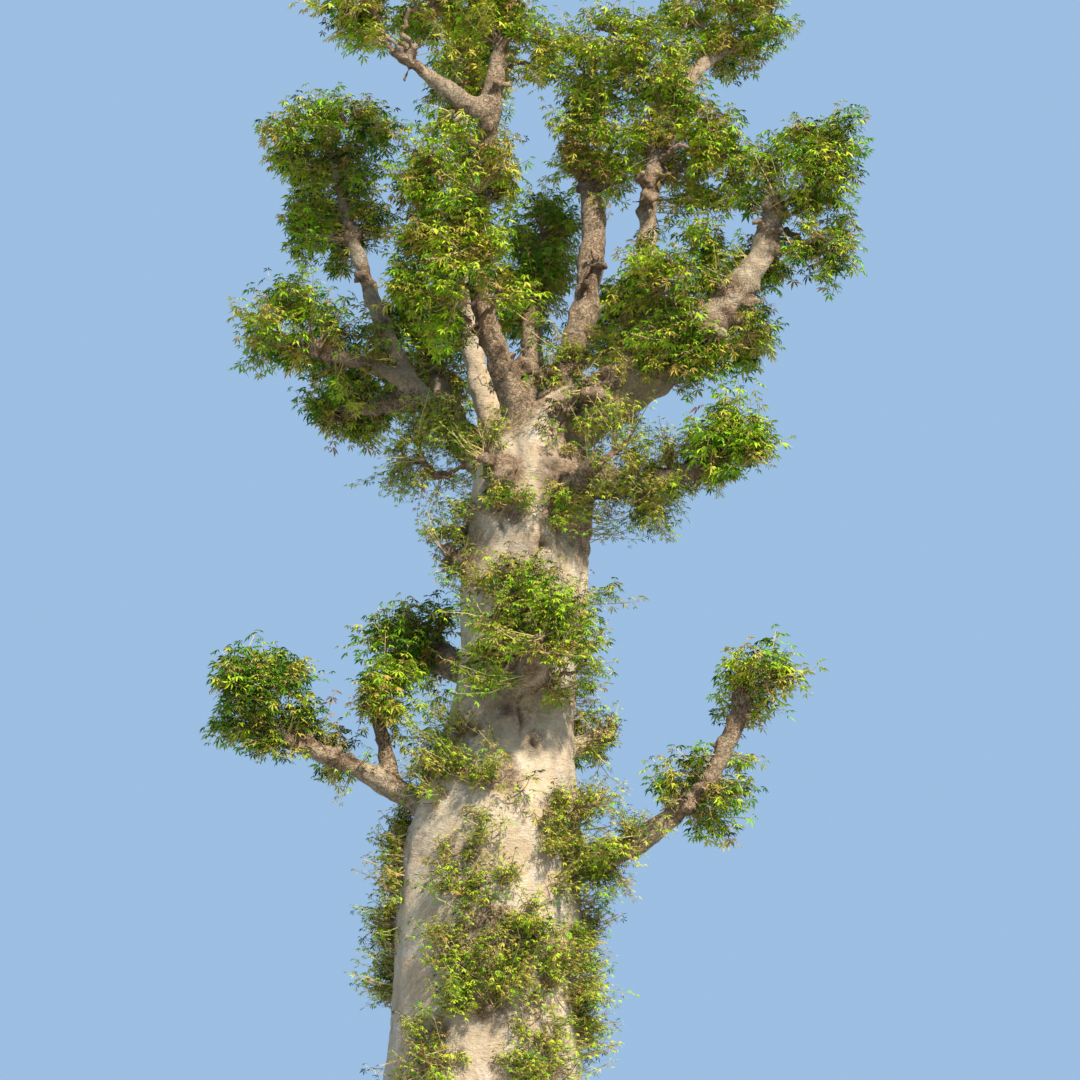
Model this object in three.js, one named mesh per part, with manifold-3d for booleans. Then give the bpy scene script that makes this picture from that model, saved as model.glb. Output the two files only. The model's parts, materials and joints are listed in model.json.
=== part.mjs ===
// A pollarded baobab: one leaning trunk with a root flare, boughs pruned back to stubs, and the masses of
// young leafy shoots that grow from them. Millimetres, +Z up. The origin is the middle of the flat cut at the
// ground. A heading of 0 points along +X, the tree's right, and 90 along +Y, its back.
import * as THREE from "three";
import { mergeVertices } from "three/addons/utils/BufferGeometryUtils.js";
import Module from "manifold-3d";

const wasm = await Module();
wasm.setup();

const GAP = 0.3; // clearance between pieces that touch
const RIGHT = new THREE.Vector3(1, 0, 0);
const BACK = new THREE.Vector3(0, 1, 0);
const UP = new THREE.Vector3(0, 0, 1);

// The trunk from the ground to the fork: its width at each height, and where its middle stands along X.
const TRUNK = [
  { height: 0, width: 3500, middle: 0 },
  { height: 500, width: 3000, middle: 0 },
  { height: 2000, width: 2560, middle: 30 },
  { height: 4500, width: 2080, middle: 110 },
  { height: 7500, width: 1750, middle: 240 },
  { height: 8600, width: 1280, middle: 410 },
  { height: 9700, width: 1400, middle: 510 },
  { height: 11000, width: 1330, middle: 610 },
  { height: 11450, width: 1330, middle: 670 },
  { height: 11780, width: 900, middle: 720 },
];
const TRUNK_TOP = TRUNK.at(-1).height;
const TRUNK_SIDES = 18;
const TRUNK_RINGS = 17;
const BUTTRESSES = { count: 7, depth: 0.07, fade: 1500 }; // root lobes that die away up the trunk
const FLUTES = { count: 5, depth: 0.05 }; // shallow folds, deepest under the fork

// Overgrown stumps on the trunk, each as wide as it says from root to tip.
const KNOBS = [
  { height: 10650, heading: 245, reach: 850, rise: 350, width: 300 },
  { height: 9750, heading: 205, reach: 800, rise: 350, width: 280 },
  { height: 7750, heading: 8, reach: 1150, rise: 450, width: 260 },
];

// The boughs. Each starts inside what carries it, at a height on the trunk or a share of the way along another
// bough, and ends the reach away along its heading and the rise above. out moves its start off the trunk's
// axis, bow lifts its middle off the straight line, kink bends it both ways, sway moves its middle to the left
// of its heading, and thick holds its width at the root and at the tip.
const BOUGHS = [
  {
    name: "right_bough", on: "trunk", at: 11350,
    heading: 347, reach: 2750, rise: 2700, bow: -290, kink: 120, thick: [740, 270],
  },
  {
    name: "front_leader", on: "trunk", at: 11500,
    heading: 242, reach: 1130, rise: 3650, bow: -250, kink: -60, sway: -350, thick: [340, 230],
  },
  {
    name: "centre_leader", on: "trunk", at: 11400,
    heading: 53, reach: 1100, rise: 3750, bow: -50, sway: -250, thick: [370, 300],
  },
  {
    name: "back_leader", on: "trunk", at: 11200,
    out: 350, heading: 118, reach: 1600, rise: 6100, bow: -250, kink: -150, sway: 200, thick: [340, 200],
  },
  {
    name: "left_bough", on: "trunk", at: 10900,
    heading: 157, reach: 2600, rise: 4650, bow: -540, kink: -60, thick: [290, 180],
  },
  {
    name: "back_bough", on: "trunk", at: 11300,
    out: 100, heading: 90, reach: 2000, rise: 3400, bow: -300, thick: [420, 220],
  },
  {
    name: "back_left_bough", on: "trunk", at: 11100,
    out: 200, heading: 126, reach: 2000, rise: 2200, bow: -250, thick: [360, 200],
  },
  {
    name: "back_right_bough", on: "trunk", at: 11250,
    out: 150, heading: 63, reach: 2500, rise: 2500, bow: -300, thick: [420, 210],
  },
  {
    name: "front_leader_left_fork", on: "front_leader", at: 0.97,
    heading: 187, reach: 1050, rise: 850, thick: [230, 170],
  },
  {
    name: "front_leader_right_fork", on: "front_leader", at: 0.97,
    heading: 50, reach: 150, rise: 1100, kink: 30, thick: [230, 190],
  },
  {
    name: "left_side_branch", on: "left_bough", at: 0.4,
    heading: 222, reach: 1400, rise: 50, kink: -40, thick: [240, 200],
  },
  {
    name: "left_low_branch", on: "left_bough", at: 0.35,
    heading: 140, reach: 1350, rise: 80, thick: [260, 200],
  },
  {
    name: "right_leader", on: "right_bough", at: 0.42,
    heading: 58, reach: 1850, rise: 4800, bow: 480, kink: -120, sway: 250, thick: [300, 190],
  },
  {
    name: "right_middle_bough", on: "trunk", at: 10850,
    heading: 343, reach: 2450, rise: 400, bow: -100, kink: 60, thick: [420, 180],
  },
  {
    name: "front_right_stub", on: "trunk", at: 10450,
    heading: 305, reach: 1230, rise: 500, thick: [300, 240],
  },
  {
    name: "big_front_stub", on: "trunk", at: 8350,
    heading: 283, reach: 1400, rise: 450, thick: [380, 340],
  },
  {
    name: "back_left_stub", on: "trunk", at: 8700,
    heading: 138, reach: 1500, rise: 700, thick: [480, 300],
  },
  {
    name: "lower_left_bough", on: "trunk", at: 7180,
    heading: 189, reach: 2550, rise: 1000, kink: -40, thick: [300, 180],
  },
  {
    name: "lower_left_branch", on: "lower_left_bough", at: 0.43,
    heading: 160, reach: 250, rise: 1000, thick: [190, 150],
  },
  {
    name: "lower_right_bough", on: "trunk", at: 6250,
    heading: 344, reach: 2900, rise: 2150, bow: -450, kink: 150, thick: [370, 190],
  },
  {
    name: "lower_back_bough", on: "trunk", at: 7150,
    heading: 82, reach: 2700, rise: 1500, bow: -250, thick: [420, 200],
  },
];
const BOUGH_SIDES = 6;
const BOUGH_STEP = 900; // the length of bough between two rings
const ROOT_SWELL = 0.4; // share by which a bough swells at its root
const SWELL_FADE = 8; // how fast the swelling dies away along the bough

// The masses of shoots on the boughs. Each is a few lobes, placed from the point a share of the way along its
// bough. A lobe has its middle's shift from that point, its size along X, Y and Z, and its tilt to the left.
const TUFTS = [
  {
    name: "top_left_tuft", on: "front_leader_left_fork", at: 0.95,
    lobes: [
      { shift: [-400, 0, 550], size: [1050, 1100, 800] },
      { shift: [150, 200, 650], size: [900, 1200, 850] },
    ],
  },
  {
    name: "top_centre_tuft", on: "front_leader_right_fork", at: 1,
    lobes: [
      { shift: [-100, -50, 400], size: [800, 1100, 850] },
      { shift: [300, 150, -100], size: [800, 900, 1000] },
    ],
  },
  {
    name: "top_back_tuft", on: "back_leader", at: 0.95,
    lobes: [{ shift: [50, 0, 100], size: [850, 1200, 1650] }],
  },
  {
    name: "leader_high_sleeve", on: "front_leader", at: 0.8,
    lobes: [{ shift: [-250, -200, -50], size: [1450, 1300, 1450] }],
  },
  {
    name: "leader_low_sleeve", on: "front_leader", at: 0.5,
    lobes: [{ shift: [-150, -350, -50], size: [1550, 1400, 1500] }],
  },
  {
    name: "back_bough_tuft", on: "back_bough", at: 0.95,
    lobes: [
      { shift: [100, 100, 300], size: [900, 1300, 1200] },
      { shift: [-120, -100, -400], size: [850, 1100, 1150] },
    ],
  },
  {
    name: "left_bough_tuft", on: "left_bough", at: 0.93,
    lobes: [
      { shift: [-130, 50, 470], size: [1500, 1400, 1100] },
      { shift: [-50, 50, -500], size: [1150, 1100, 1150] },
    ],
  },
  {
    name: "left_side_tuft", on: "left_side_branch", at: 0.95,
    lobes: [
      { shift: [-350, 0, 300], size: [1150, 1200, 900] },
      { shift: [230, 500, 50], size: [1250, 1150, 1250] },
    ],
  },
  {
    name: "left_low_tuft", on: "left_low_branch", at: 0.9,
    lobes: [{ shift: [50, 50, 50], size: [1000, 1100, 700] }],
  },
  {
    name: "left_bough_root_mass", on: "left_bough", at: 0.25,
    lobes: [{ shift: [-100, -150, -300], size: [1250, 1200, 1250] }],
  },
  {
    name: "back_left_tuft", on: "back_left_bough", at: 0.95,
    lobes: [{ shift: [0, 100, 200], size: [1200, 1300, 1650] }],
  },
  {
    name: "back_right_tuft", on: "back_right_bough", at: 0.95,
    lobes: [{ shift: [50, 50, 200], size: [1200, 1400, 1250] }],
  },
  {
    name: "centre_leader_tuft", on: "centre_leader", at: 1,
    lobes: [
      { shift: [350, 100, 1500], size: [1500, 1500, 1300] },
      { shift: [100, 0, 500], size: [1150, 1200, 1250] },
    ],
  },
  {
    name: "right_leader_tuft", on: "right_leader", at: 1,
    lobes: [{ shift: [50, 50, 300], size: [1600, 1500, 1150] }],
  },
  {
    name: "right_leader_sleeve", on: "right_leader", at: 0.6,
    lobes: [
      { shift: [430, 0, -300], size: [1400, 1400, 1150] },
      { shift: [230, 0, 450], size: [750, 900, 950] },
    ],
  },
  {
    name: "right_bough_tuft", on: "right_bough", at: 1,
    lobes: [
      { shift: [350, 0, 590], size: [1400, 1300, 1050], tilt: -25 },
      { shift: [350, 100, -250], size: [1150, 1100, 850] },
    ],
  },
  {
    name: "right_bough_sleeve", on: "right_bough", at: 0.6,
    lobes: [
      { shift: [-300, 50, 500], size: [1500, 1300, 1050] },
      { shift: [170, 350, 970], size: [1100, 950, 1000] },
      { shift: [-350, -100, -250], size: [750, 800, 850] },
    ],
  },
  {
    name: "right_bough_low_tuft", on: "right_bough", at: 0.75,
    lobes: [
      { shift: [0, 150, -350], size: [950, 1000, 850] },
      { shift: [-600, 0, -650], size: [850, 900, 750] },
    ],
  },
  {
    name: "right_middle_root_mass", on: "right_middle_bough", at: 0.5,
    lobes: [
      { shift: [-380, -250, 290], size: [1150, 1300, 1230] },
      { shift: [200, 50, 0], size: [1150, 1300, 1200] },
    ],
  },
  {
    name: "right_middle_tuft", on: "right_middle_bough", at: 0.97,
    lobes: [{ shift: [-150, 50, 100], size: [950, 1200, 950] }],
  },
  {
    name: "big_front_tuft", on: "big_front_stub", at: 0.9,
    lobes: [
      { shift: [-50, 50, 250], size: [1500, 1250, 1250] },
      { shift: [300, 300, -50], size: [800, 850, 700] },
    ],
  },
  {
    name: "back_left_stub_tuft", on: "back_left_stub", at: 0.95,
    lobes: [{ shift: [-50, -50, 100], size: [950, 1100, 900] }],
  },
  {
    name: "lower_left_tuft", on: "lower_left_bough", at: 0.97,
    lobes: [
      { shift: [-100, 0, 430], size: [1420, 1400, 900] },
      { shift: [0, 0, 50], size: [850, 1100, 700] },
    ],
  },
  {
    name: "lower_left_sleeve", on: "lower_left_bough", at: 0.66,
    lobes: [
      { shift: [20, -50, 230], size: [950, 850, 780] },
      { shift: [500, 50, 620], size: [800, 850, 1100] },
    ],
  },
  {
    name: "lower_right_tuft", on: "lower_right_bough", at: 0.97,
    lobes: [
      { shift: [50, 0, 250], size: [900, 1200, 1100] },
      { shift: [-200, 0, 100], size: [600, 700, 450] },
    ],
  },
  {
    name: "lower_right_sleeve", on: "lower_right_bough", at: 0.7,
    lobes: [{ shift: [100, 50, 200], size: [900, 950, 950] }],
  },
  {
    name: "lower_back_tuft", on: "lower_back_bough", at: 0.95,
    lobes: [{ shift: [0, 0, 150], size: [1300, 1400, 1300] }],
  },
];

// The masses of shoots on the trunk: the height and heading of the middle, how far out of the bark it stands,
// and the size across, outwards and up.
const PATCHES = [
  { name: "front_high_tuft", height: 11250, heading: 246, out: 190, size: [650, 600, 850] },
  { name: "left_knob_tuft", height: 10550, heading: 192, out: 170, size: [800, 650, 600] },
  { name: "right_knob_tuft", height: 8300, heading: 6, out: 260, size: [800, 600, 850] },
  { name: "lower_left_root_mass", height: 7850, heading: 222, out: 0, size: [1150, 900, 1000] },
  { name: "lower_right_root_mass", height: 6950, heading: 333, out: 150, size: [1000, 1300, 1300] },
  { name: "front_patch", height: 6550, heading: 260, out: 0, size: [750, 600, 1100] },
  { name: "front_band", height: 5600, heading: 279, out: 0, size: [1850, 800, 1000] },
  { name: "low_left_patch", height: 4700, heading: 240, out: 0, size: [850, 600, 1000] },
  { name: "low_right_patch", height: 4650, heading: 304, out: 0, size: [800, 650, 850] },
  { name: "left_strip", height: 6200, heading: 174, out: -50, size: [900, 500, 2000] },
  { name: "right_strip", height: 5550, heading: 355, out: -50, size: [900, 520, 1650] },
];
const BALL_DETAIL = [
  { from: 0, detail: 1 },
  { from: 920, detail: 2 },
  { from: 1420, detail: 3 },
]; // how finely a lobe is divided from each mean size on
const LUMPS = { waves: 5, depth: 0.06, slowest: 2.5, fastest: 5.5 }; // the unevenness of a mass

const LOOKS = {
  bark: { color: 0xcdb896, roughness: 0.9, metalness: 0 },
  leaves: { color: 0x4f8f26, roughness: 0.8, metalness: 0 },
};

// The value named key of the trunk's stations, as a smooth function of height.
function smoothly(key) {
  const heights = TRUNK.map((station) => station.height);
  const values = TRUNK.map((station) => station[key]);
  const curve = new THREE.CubicInterpolant(heights, values, 1);
  return (height) => curve.evaluate(height)[0];
}

const trunkWidth = smoothly("width");
const trunkMiddle = smoothly("middle");

function toward(heading, length) {
  const angle = THREE.MathUtils.degToRad(heading);
  return new THREE.Vector3(Math.cos(angle) * length, Math.sin(angle) * length, 0);
}

function trunkAxis(height) {
  return new THREE.Vector3(trunkMiddle(height), 0, height);
}

// The distance from the trunk's axis to its bark at a height and an angle in radians.
function trunkRadius(height, angle) {
  const fading = Math.exp(-height / BUTTRESSES.fade);
  const lobes = BUTTRESSES.depth * fading * Math.cos(BUTTRESSES.count * angle);
  const flutes = FLUTES.depth * (height / TRUNK_TOP) ** 2 * Math.cos(FLUTES.count * angle + 1);
  return (trunkWidth(height) / 2) * (1 + lobes + flutes);
}

// The solid inside a closed surface.
function solidOf(geometry) {
  const bare = new THREE.BufferGeometry();
  bare.setAttribute("position", geometry.getAttribute("position"));
  bare.setIndex(geometry.index);
  const merged = mergeVertices(bare, 1e-3);
  return new wasm.Manifold(
    new wasm.Mesh({
      numProp: 3,
      vertProperties: merged.attributes.position.array,
      triVerts: new Uint32Array(merged.index.array),
    }),
  );
}

// The faces of a solid, each flat.
function geometryOf(solid) {
  const { numProp, vertProperties, triVerts } = solid.getMesh();
  const indexed = new THREE.BufferGeometry();
  indexed.setAttribute("position", new THREE.BufferAttribute(vertProperties, numProp));
  indexed.setIndex(new THREE.BufferAttribute(triVerts, 1));
  const geometry = indexed.toNonIndexed();
  geometry.computeVertexNormals();
  return geometry;
}

// Moves each vertex of a geometry to where place says.
function reshape(geometry, place) {
  const position = geometry.getAttribute("position");
  const vertex = new THREE.Vector3();
  for (let i = 0; i < position.count; i++) {
    vertex.fromBufferAttribute(position, i);
    position.setXYZ(i, ...place(vertex));
  }
  return geometry;
}

// The bare trunk, grown outwards by grow.
function trunkShape(grow) {
  const rod = new THREE.CylinderGeometry(1, 1, 1, TRUNK_SIDES, TRUNK_RINGS);
  return reshape(rod, ({ x, y, z }) => {
    const share = y + 0.5;
    const height = share * TRUNK_TOP;
    const angle = Math.atan2(-z, x);
    const radius = (trunkRadius(height, angle) + grow) * Math.min(1, Math.hypot(x, z));
    const out = new THREE.Vector3(Math.cos(angle), Math.sin(angle), 0);
    return trunkAxis(height).addScaledVector(out, radius).addScaledVector(UP, share > 0.999 ? grow : 0);
  });
}

// The middle line of a bough: straight, with its bow and kink in the upright plane of its heading and its sway
// across it.
class BoughLine extends THREE.Curve {
  constructor(start, { heading, reach, rise, bow = 0, kink = 0, sway = 0 }) {
    super();
    this.start = start;
    this.run = toward(heading, reach).addScaledVector(UP, rise);
    this.normal = toward(heading, -rise).addScaledVector(UP, reach).normalize();
    this.bow = bow;
    this.kink = kink;
    this.sway = toward(heading + 90, sway);
  }

  getPoint(t, target = new THREE.Vector3()) {
    const middle = Math.sin(Math.PI * t);
    const aside = this.bow * middle + this.kink * Math.sin(2 * Math.PI * t);
    return target
      .copy(this.start)
      .addScaledVector(this.run, t)
      .addScaledVector(this.normal, aside)
      .addScaledVector(this.sway, middle);
  }
}

// A round limb along a line, tapering from its root's width to its tip's, grown outwards by grow.
function limbShape(line, [rootWidth, tipWidth], grow) {
  const steps = Math.max(2, Math.round(line.getLength() / BOUGH_STEP));
  const frames = line.computeFrenetFrames(steps);
  const rod = new THREE.CylinderGeometry(1, 1, 1, BOUGH_SIDES, steps);
  return reshape(rod, ({ x, y, z }) => {
    const ring = Math.round((y + 0.5) * steps);
    const share = ring / steps;
    const swell = 1 + ROOT_SWELL * Math.exp(-SWELL_FADE * share);
    const radius = (THREE.MathUtils.lerp(rootWidth, tipWidth, share) / 2) * swell + grow;
    const past = { 0: -grow, [steps]: grow }[ring] ?? 0;
    return line
      .getPointAt(share)
      .addScaledVector(frames.normals[ring], x * radius)
      .addScaledVector(frames.binormals[ring], -z * radius)
      .addScaledVector(frames.tangents[ring], past);
  });
}

// A repeatable stream of numbers from 0 to 1.
function randomStream(seed) {
  let state = seed;
  return () => {
    state = (state + 0x6d2b79f5) | 0;
    let t = Math.imul(state ^ (state >>> 15), 1 | state);
    t = (t + Math.imul(t ^ (t >>> 7), 61 | t)) ^ t;
    return ((t ^ (t >>> 14)) >>> 0) / 4294967296;
  };
}

// An uneven closed lobe: a ball stretched along three axes, with lumps drawn from its seed.
function lobeShape(centre, axes, size, seed, grow) {
  const random = randomStream(seed);
  const waves = Array.from({ length: LUMPS.waves }, () => {
    const along = new THREE.Vector3(random() - 0.5, random() - 0.5, random() - 0.5);
    along.setLength(THREE.MathUtils.lerp(LUMPS.slowest, LUMPS.fastest, random()));
    return { along, phase: random() * 2 * Math.PI };
  });
  const mean = (size[0] + size[1] + size[2]) / 3;
  const ball = new THREE.OctahedronGeometry(1, BALL_DETAIL.findLast((step) => mean >= step.from).detail);
  return reshape(ball, (vertex) => {
    const unit = vertex.clone();
    const lump = waves.reduce((sum, wave) => sum + Math.sin(unit.dot(wave.along) + wave.phase), 0);
    const place = centre.clone();
    axes.forEach((axis, i) => {
      const reach = (size[i] / 2) * (1 + LUMPS.depth * lump) + grow;
      place.addScaledVector(axis, unit.getComponent(i) * reach);
    });
    return place;
  });
}

const pieces = []; // the pieces so far, each with the grown copy that later pieces are cut by

function boxesMeet(a, b) {
  const first = a.boundingBox();
  const second = b.boundingBox();
  return [0, 1, 2].every((i) => first.min[i] <= second.max[i] && second.min[i] <= first.max[i]);
}

// Adds a piece, cut by those that are already there. shapes(grow) gives the geometries that it joins.
function addPiece(name, look, shapes) {
  const joined = (grow) => shapes(grow).map(solidOf).reduce((sum, solid) => sum.add(solid));
  let solid = joined(0);
  for (const other of pieces) {
    if (boxesMeet(solid, other.grown)) solid = solid.subtract(other.grown);
  }
  const [largest] = solid.decompose().sort((a, b) => b.volume() - a.volume());
  pieces.push({ name, look, solid: largest, grown: joined(GAP) });
}

function addTrunk() {
  const knobLines = KNOBS.map((knob) => new BoughLine(trunkAxis(knob.height), knob));
  addPiece("trunk", "bark", (grow) => [
    trunkShape(grow),
    ...KNOBS.map((knob, i) => limbShape(knobLines[i], [knob.width, knob.width], grow)),
  ]);
}

// Adds the boughs and gives back their middle lines by name.
function addBoughs() {
  const lines = new Map();
  for (const bough of BOUGHS) {
    const onTrunk = bough.on === "trunk";
    const start = onTrunk ? trunkAxis(bough.at) : lines.get(bough.on).getPoint(bough.at);
    const line = new BoughLine(start.add(toward(bough.heading, bough.out ?? 0)), bough);
    lines.set(bough.name, line);
    addPiece(bough.name, "bark", (grow) => [limbShape(line, bough.thick, grow)]);
  }
  return lines;
}

function addTufts(lines) {
  TUFTS.forEach((tuft, i) => {
    const from = lines.get(tuft.on).getPoint(tuft.at);
    const shapes = (grow) =>
      tuft.lobes.map(({ shift, size, tilt = 0 }, k) => {
        const angle = THREE.MathUtils.degToRad(tilt);
        const axes = [RIGHT, BACK, UP].map((axis) => axis.clone().applyAxisAngle(BACK, angle));
        return lobeShape(new THREE.Vector3(...shift).add(from), axes, size, 10 * i + k, grow);
      });
    addPiece(tuft.name, "leaves", shapes);
  });
}

function addPatches() {
  PATCHES.forEach(({ name, height, heading, out, size }, i) => {
    const outward = toward(heading, 1);
    const across = new THREE.Vector3().crossVectors(outward, UP);
    const bark = trunkRadius(height, THREE.MathUtils.degToRad(heading));
    const centre = trunkAxis(height).addScaledVector(outward, bark + out);
    addPiece(name, "leaves", (grow) => [
      lobeShape(centre, [across, outward, UP], size, 1000 + i, grow),
    ]);
  });
}

function buildTree() {
  addTrunk();
  addTufts(addBoughs());
  addPatches();
  const tree = new THREE.Group();
  for (const { name, look, solid } of pieces) {
    const mesh = new THREE.Mesh(geometryOf(solid), new THREE.MeshStandardMaterial(LOOKS[look]));
    mesh.name = name;
    tree.add(mesh);
  }
  return tree;
}

export default buildTree();
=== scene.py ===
"""A pollarded baobab: folded bark over the trunk and boughs, and leafy shoots in every mass of foliage."""
import json
import math
from collections import namedtuple
from itertools import product

import bpy
import numpy as np
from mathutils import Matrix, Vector
from mathutils.bvhtree import BVHTree
from mathutils.kdtree import KDTree


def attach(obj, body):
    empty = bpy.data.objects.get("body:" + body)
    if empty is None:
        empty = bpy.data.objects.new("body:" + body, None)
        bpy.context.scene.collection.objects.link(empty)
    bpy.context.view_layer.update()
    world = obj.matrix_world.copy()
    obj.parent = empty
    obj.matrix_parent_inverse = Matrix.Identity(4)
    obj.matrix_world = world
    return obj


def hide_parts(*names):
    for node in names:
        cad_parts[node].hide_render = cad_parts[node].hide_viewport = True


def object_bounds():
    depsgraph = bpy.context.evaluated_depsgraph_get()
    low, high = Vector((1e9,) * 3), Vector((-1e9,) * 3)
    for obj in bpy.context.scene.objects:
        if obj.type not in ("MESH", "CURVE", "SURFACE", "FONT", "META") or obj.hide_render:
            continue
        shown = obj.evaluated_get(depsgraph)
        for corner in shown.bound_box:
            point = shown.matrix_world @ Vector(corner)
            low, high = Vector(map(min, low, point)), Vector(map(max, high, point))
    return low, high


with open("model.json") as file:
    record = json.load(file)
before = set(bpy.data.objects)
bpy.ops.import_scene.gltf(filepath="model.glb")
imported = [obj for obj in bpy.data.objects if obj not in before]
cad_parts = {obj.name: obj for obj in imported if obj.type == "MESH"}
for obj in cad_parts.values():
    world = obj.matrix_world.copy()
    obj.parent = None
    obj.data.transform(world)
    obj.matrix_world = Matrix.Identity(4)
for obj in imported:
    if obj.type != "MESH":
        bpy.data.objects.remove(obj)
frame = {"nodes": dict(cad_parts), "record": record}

# Lengths are in metres. Headings are in degrees: 0 is the tree's right and 270 its front.
# A share is a place along a bough, from 0 at its root to 1 at its tip.
CAD_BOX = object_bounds()
UP = np.array([0.0, 0.0, 1.0])
BARK_SLOT, LEAF_SLOT = "bark", "leaves"

# ---- The wood ----

VOXEL = 0.03  # the cell of the mesh that joins trunk and boughs
FILLET_ROUNDS = 6  # smoothing rounds that round off the joins
FILLET, BURL_FILLET = 0.5, 0.38  # how much each round smooths, and how much less it does a burl
BARK_TRIANGLES = 130000
BARK_SEED, STRAYS_SEED, FIRST_MASS_SEED = 11, 99, 100
TUBE_SIDES, TUBE_STEP = 20, 0.08
BALL_RINGS, BALL_SIDES = 7, 10
FORK_X = 0.7  # the trunk's fork stands so far to the right of the origin
FORKED = 0.45  # a bough with another's root this near to its tip ends in no burl
BURIED = 0.5  # how far a root may run on into what carries it
ROOT_SWELL, ROOT_FADE = 0.22, 7.0  # how much a bough swells at its root, and how fast that dies away
SLIM = {"left_side_branch": 0.8, "left_bough": 0.9}  # these are slimmer than their solids
KNUCKLE_EVERY = 0.7  # length of bough for one swollen knuckle
# How dark and mottled the bark is, from 0 to 1.
TRUNK_TONE, FOOT_TONE, PLAIN_TONE = 0.06, 0.4, 0.45
STAIN_TONE, MASS_STAIN = 0.5, 0.45  # where it is stained, and how much it is in a mass on the trunk
# The dark tones of front_leader, back_bough, left_low_branch and back_left_stub are partly painted shade,
# where these boughs stand in shade, and partly their darker bark.
TONES = {
    "front_leader": 0.85, "front_leader_left_fork": 0.65, "front_leader_right_fork": 0.7,
    "centre_leader": 0.85, "back_leader": 0.15, "back_bough": 0.9, "left_bough": 0.45,
    "left_low_branch": 0.95, "left_side_branch": 0.4, "back_left_stub": 0.95, "right_bough": 0.42,
    "right_leader": 0.5, "right_middle_bough": 0.7, "front_right_stub": 0.9, "big_front_stub": 0.35,
    "lower_left_bough": 0.6, "lower_left_branch": 0.95, "lower_right_bough": 0.65,
}
# Stretches of bough that stand bare in front of the foliage: the bough, and from and to which share.
BARE_STRETCHES = (
    ("left_side_branch", 0.12, 0.92), ("lower_left_bough", 0.25, 0.7), ("front_leader", 0.14, 0.32),
    ("front_leader_left_fork", 0.0, 0.8), ("front_leader_right_fork", 0.0, 0.6),
    ("back_leader", 0.22, 0.36), ("left_bough", 0.45, 0.7), ("left_low_branch", 0.3, 0.6),
    ("centre_leader", 0.28, 0.6), ("right_leader", 0.36, 0.46), ("right_bough", 0.0, 0.08),
    ("right_bough", 0.66, 0.82), ("lower_right_bough", 0.45, 0.62),
)
# Stretches of trunk that stand bare too: height, heading and radius.
BARE_TRUNK = (
    (11.5, 286, 0.26), (11.15, 283, 0.27), (10.78, 277, 0.26), (10.35, 248, 0.2), (10.35, 270, 0.2),
    (10.3, 292, 0.2), (8.75, 258, 0.28), (8.35, 266, 0.32), (7.9, 282, 0.25),
)
# The way one looks at the crown from the front, and the way of the sun's rays. Foliage keeps clear of
# a bare stretch for so far up either of them, and by so much beside it.
SIGHT, SIGHT_REACH = np.array([0.0, 0.94, 0.34]), 20.0
SUNRAY, SUNRAY_REACH = np.array([-0.37, 0.64, -0.67]), 1.0
BARE_MARGIN = 0.09

# Burls, the knobbly old pruning scars that the shoots grow from.
BURLS_PER_M2 = 1.1  # for each square metre of a mass's outer surface
BURL_SIZE, BURL_BALLS, BURL_STUBS = (0.045, 0.08), 7, 3
TRUNK_SPOTS = 6000  # places on the trunk to choose a burl's from
BURL_ON_THIN = 0.35  # its largest size on a thin bough, as a share of the bough's radius
TRUNK_BURL = 0.6  # a burl's size in a mass on the trunk beside that in others
HEAD_SIZE = 0.6  # the burl at a bough's end, as a share of its radius
STUMPS = ((11.0, 245), (10.1, 200), (8.2, 8))  # height and heading of the trunk's overgrown stumps
STUMP_STAIN = 0.3  # radius of the stain about each
KNOTS = {  # share along the bough, heading and size
    "front_leader_left_fork": ((0.8, 230, 0.11), (0.9, 290, 0.1)),
    "front_leader_right_fork": ((0.35, 330, 0.07),),
    "left_bough": ((0.5, 300, 0.05), (0.62, 240, 0.06)),
    "left_side_branch": ((0.92, 250, 0.08),),
    "centre_leader": ((0.6, 300, 0.09), (0.52, 250, 0.06)),
    "right_leader": ((0.4, 270, 0.09), (0.46, 240, 0.08)),
    "right_bough": (
        (0.1, 275, 0.07), (0.22, 262, 0.09), (0.3, 250, 0.07), (0.38, 290, 0.08), (0.55, 300, 0.07),
        (0.72, 250, 0.06),
    ),
    "lower_left_bough": ((0.55, 280, 0.06),),
    "lower_right_bough": ((0.5, 280, 0.07),),
    "back_left_stub": ((0.95, 230, 0.13), (0.75, 260, 0.1)),
}
CROTCH_BURL = ("front_leader", 0.2, "centre_leader", 0.17)  # it joins these boughs at these shares
CROTCH_BURL_SIZE = 0.075
# Stained and warty bark, besides that in the masses on the trunk: height, heading and radius.
ROUGH_PATCHES = (
    (10.2, 208, 0.42), (10.75, 244, 0.25), (10.5, 262, 0.18), (10.5, 300, 0.22), (10.3, 338, 0.35),
    (9.75, 262, 0.25), (8.6, 242, 0.2), (8.95, 282, 0.18), (8.0, 286, 0.14), (7.6, 262, 0.25),
    (5.9, 276, 0.3), (9.8, 60, 0.5), (8.2, 140, 0.42), (6.6, 95, 0.45),
)
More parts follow.
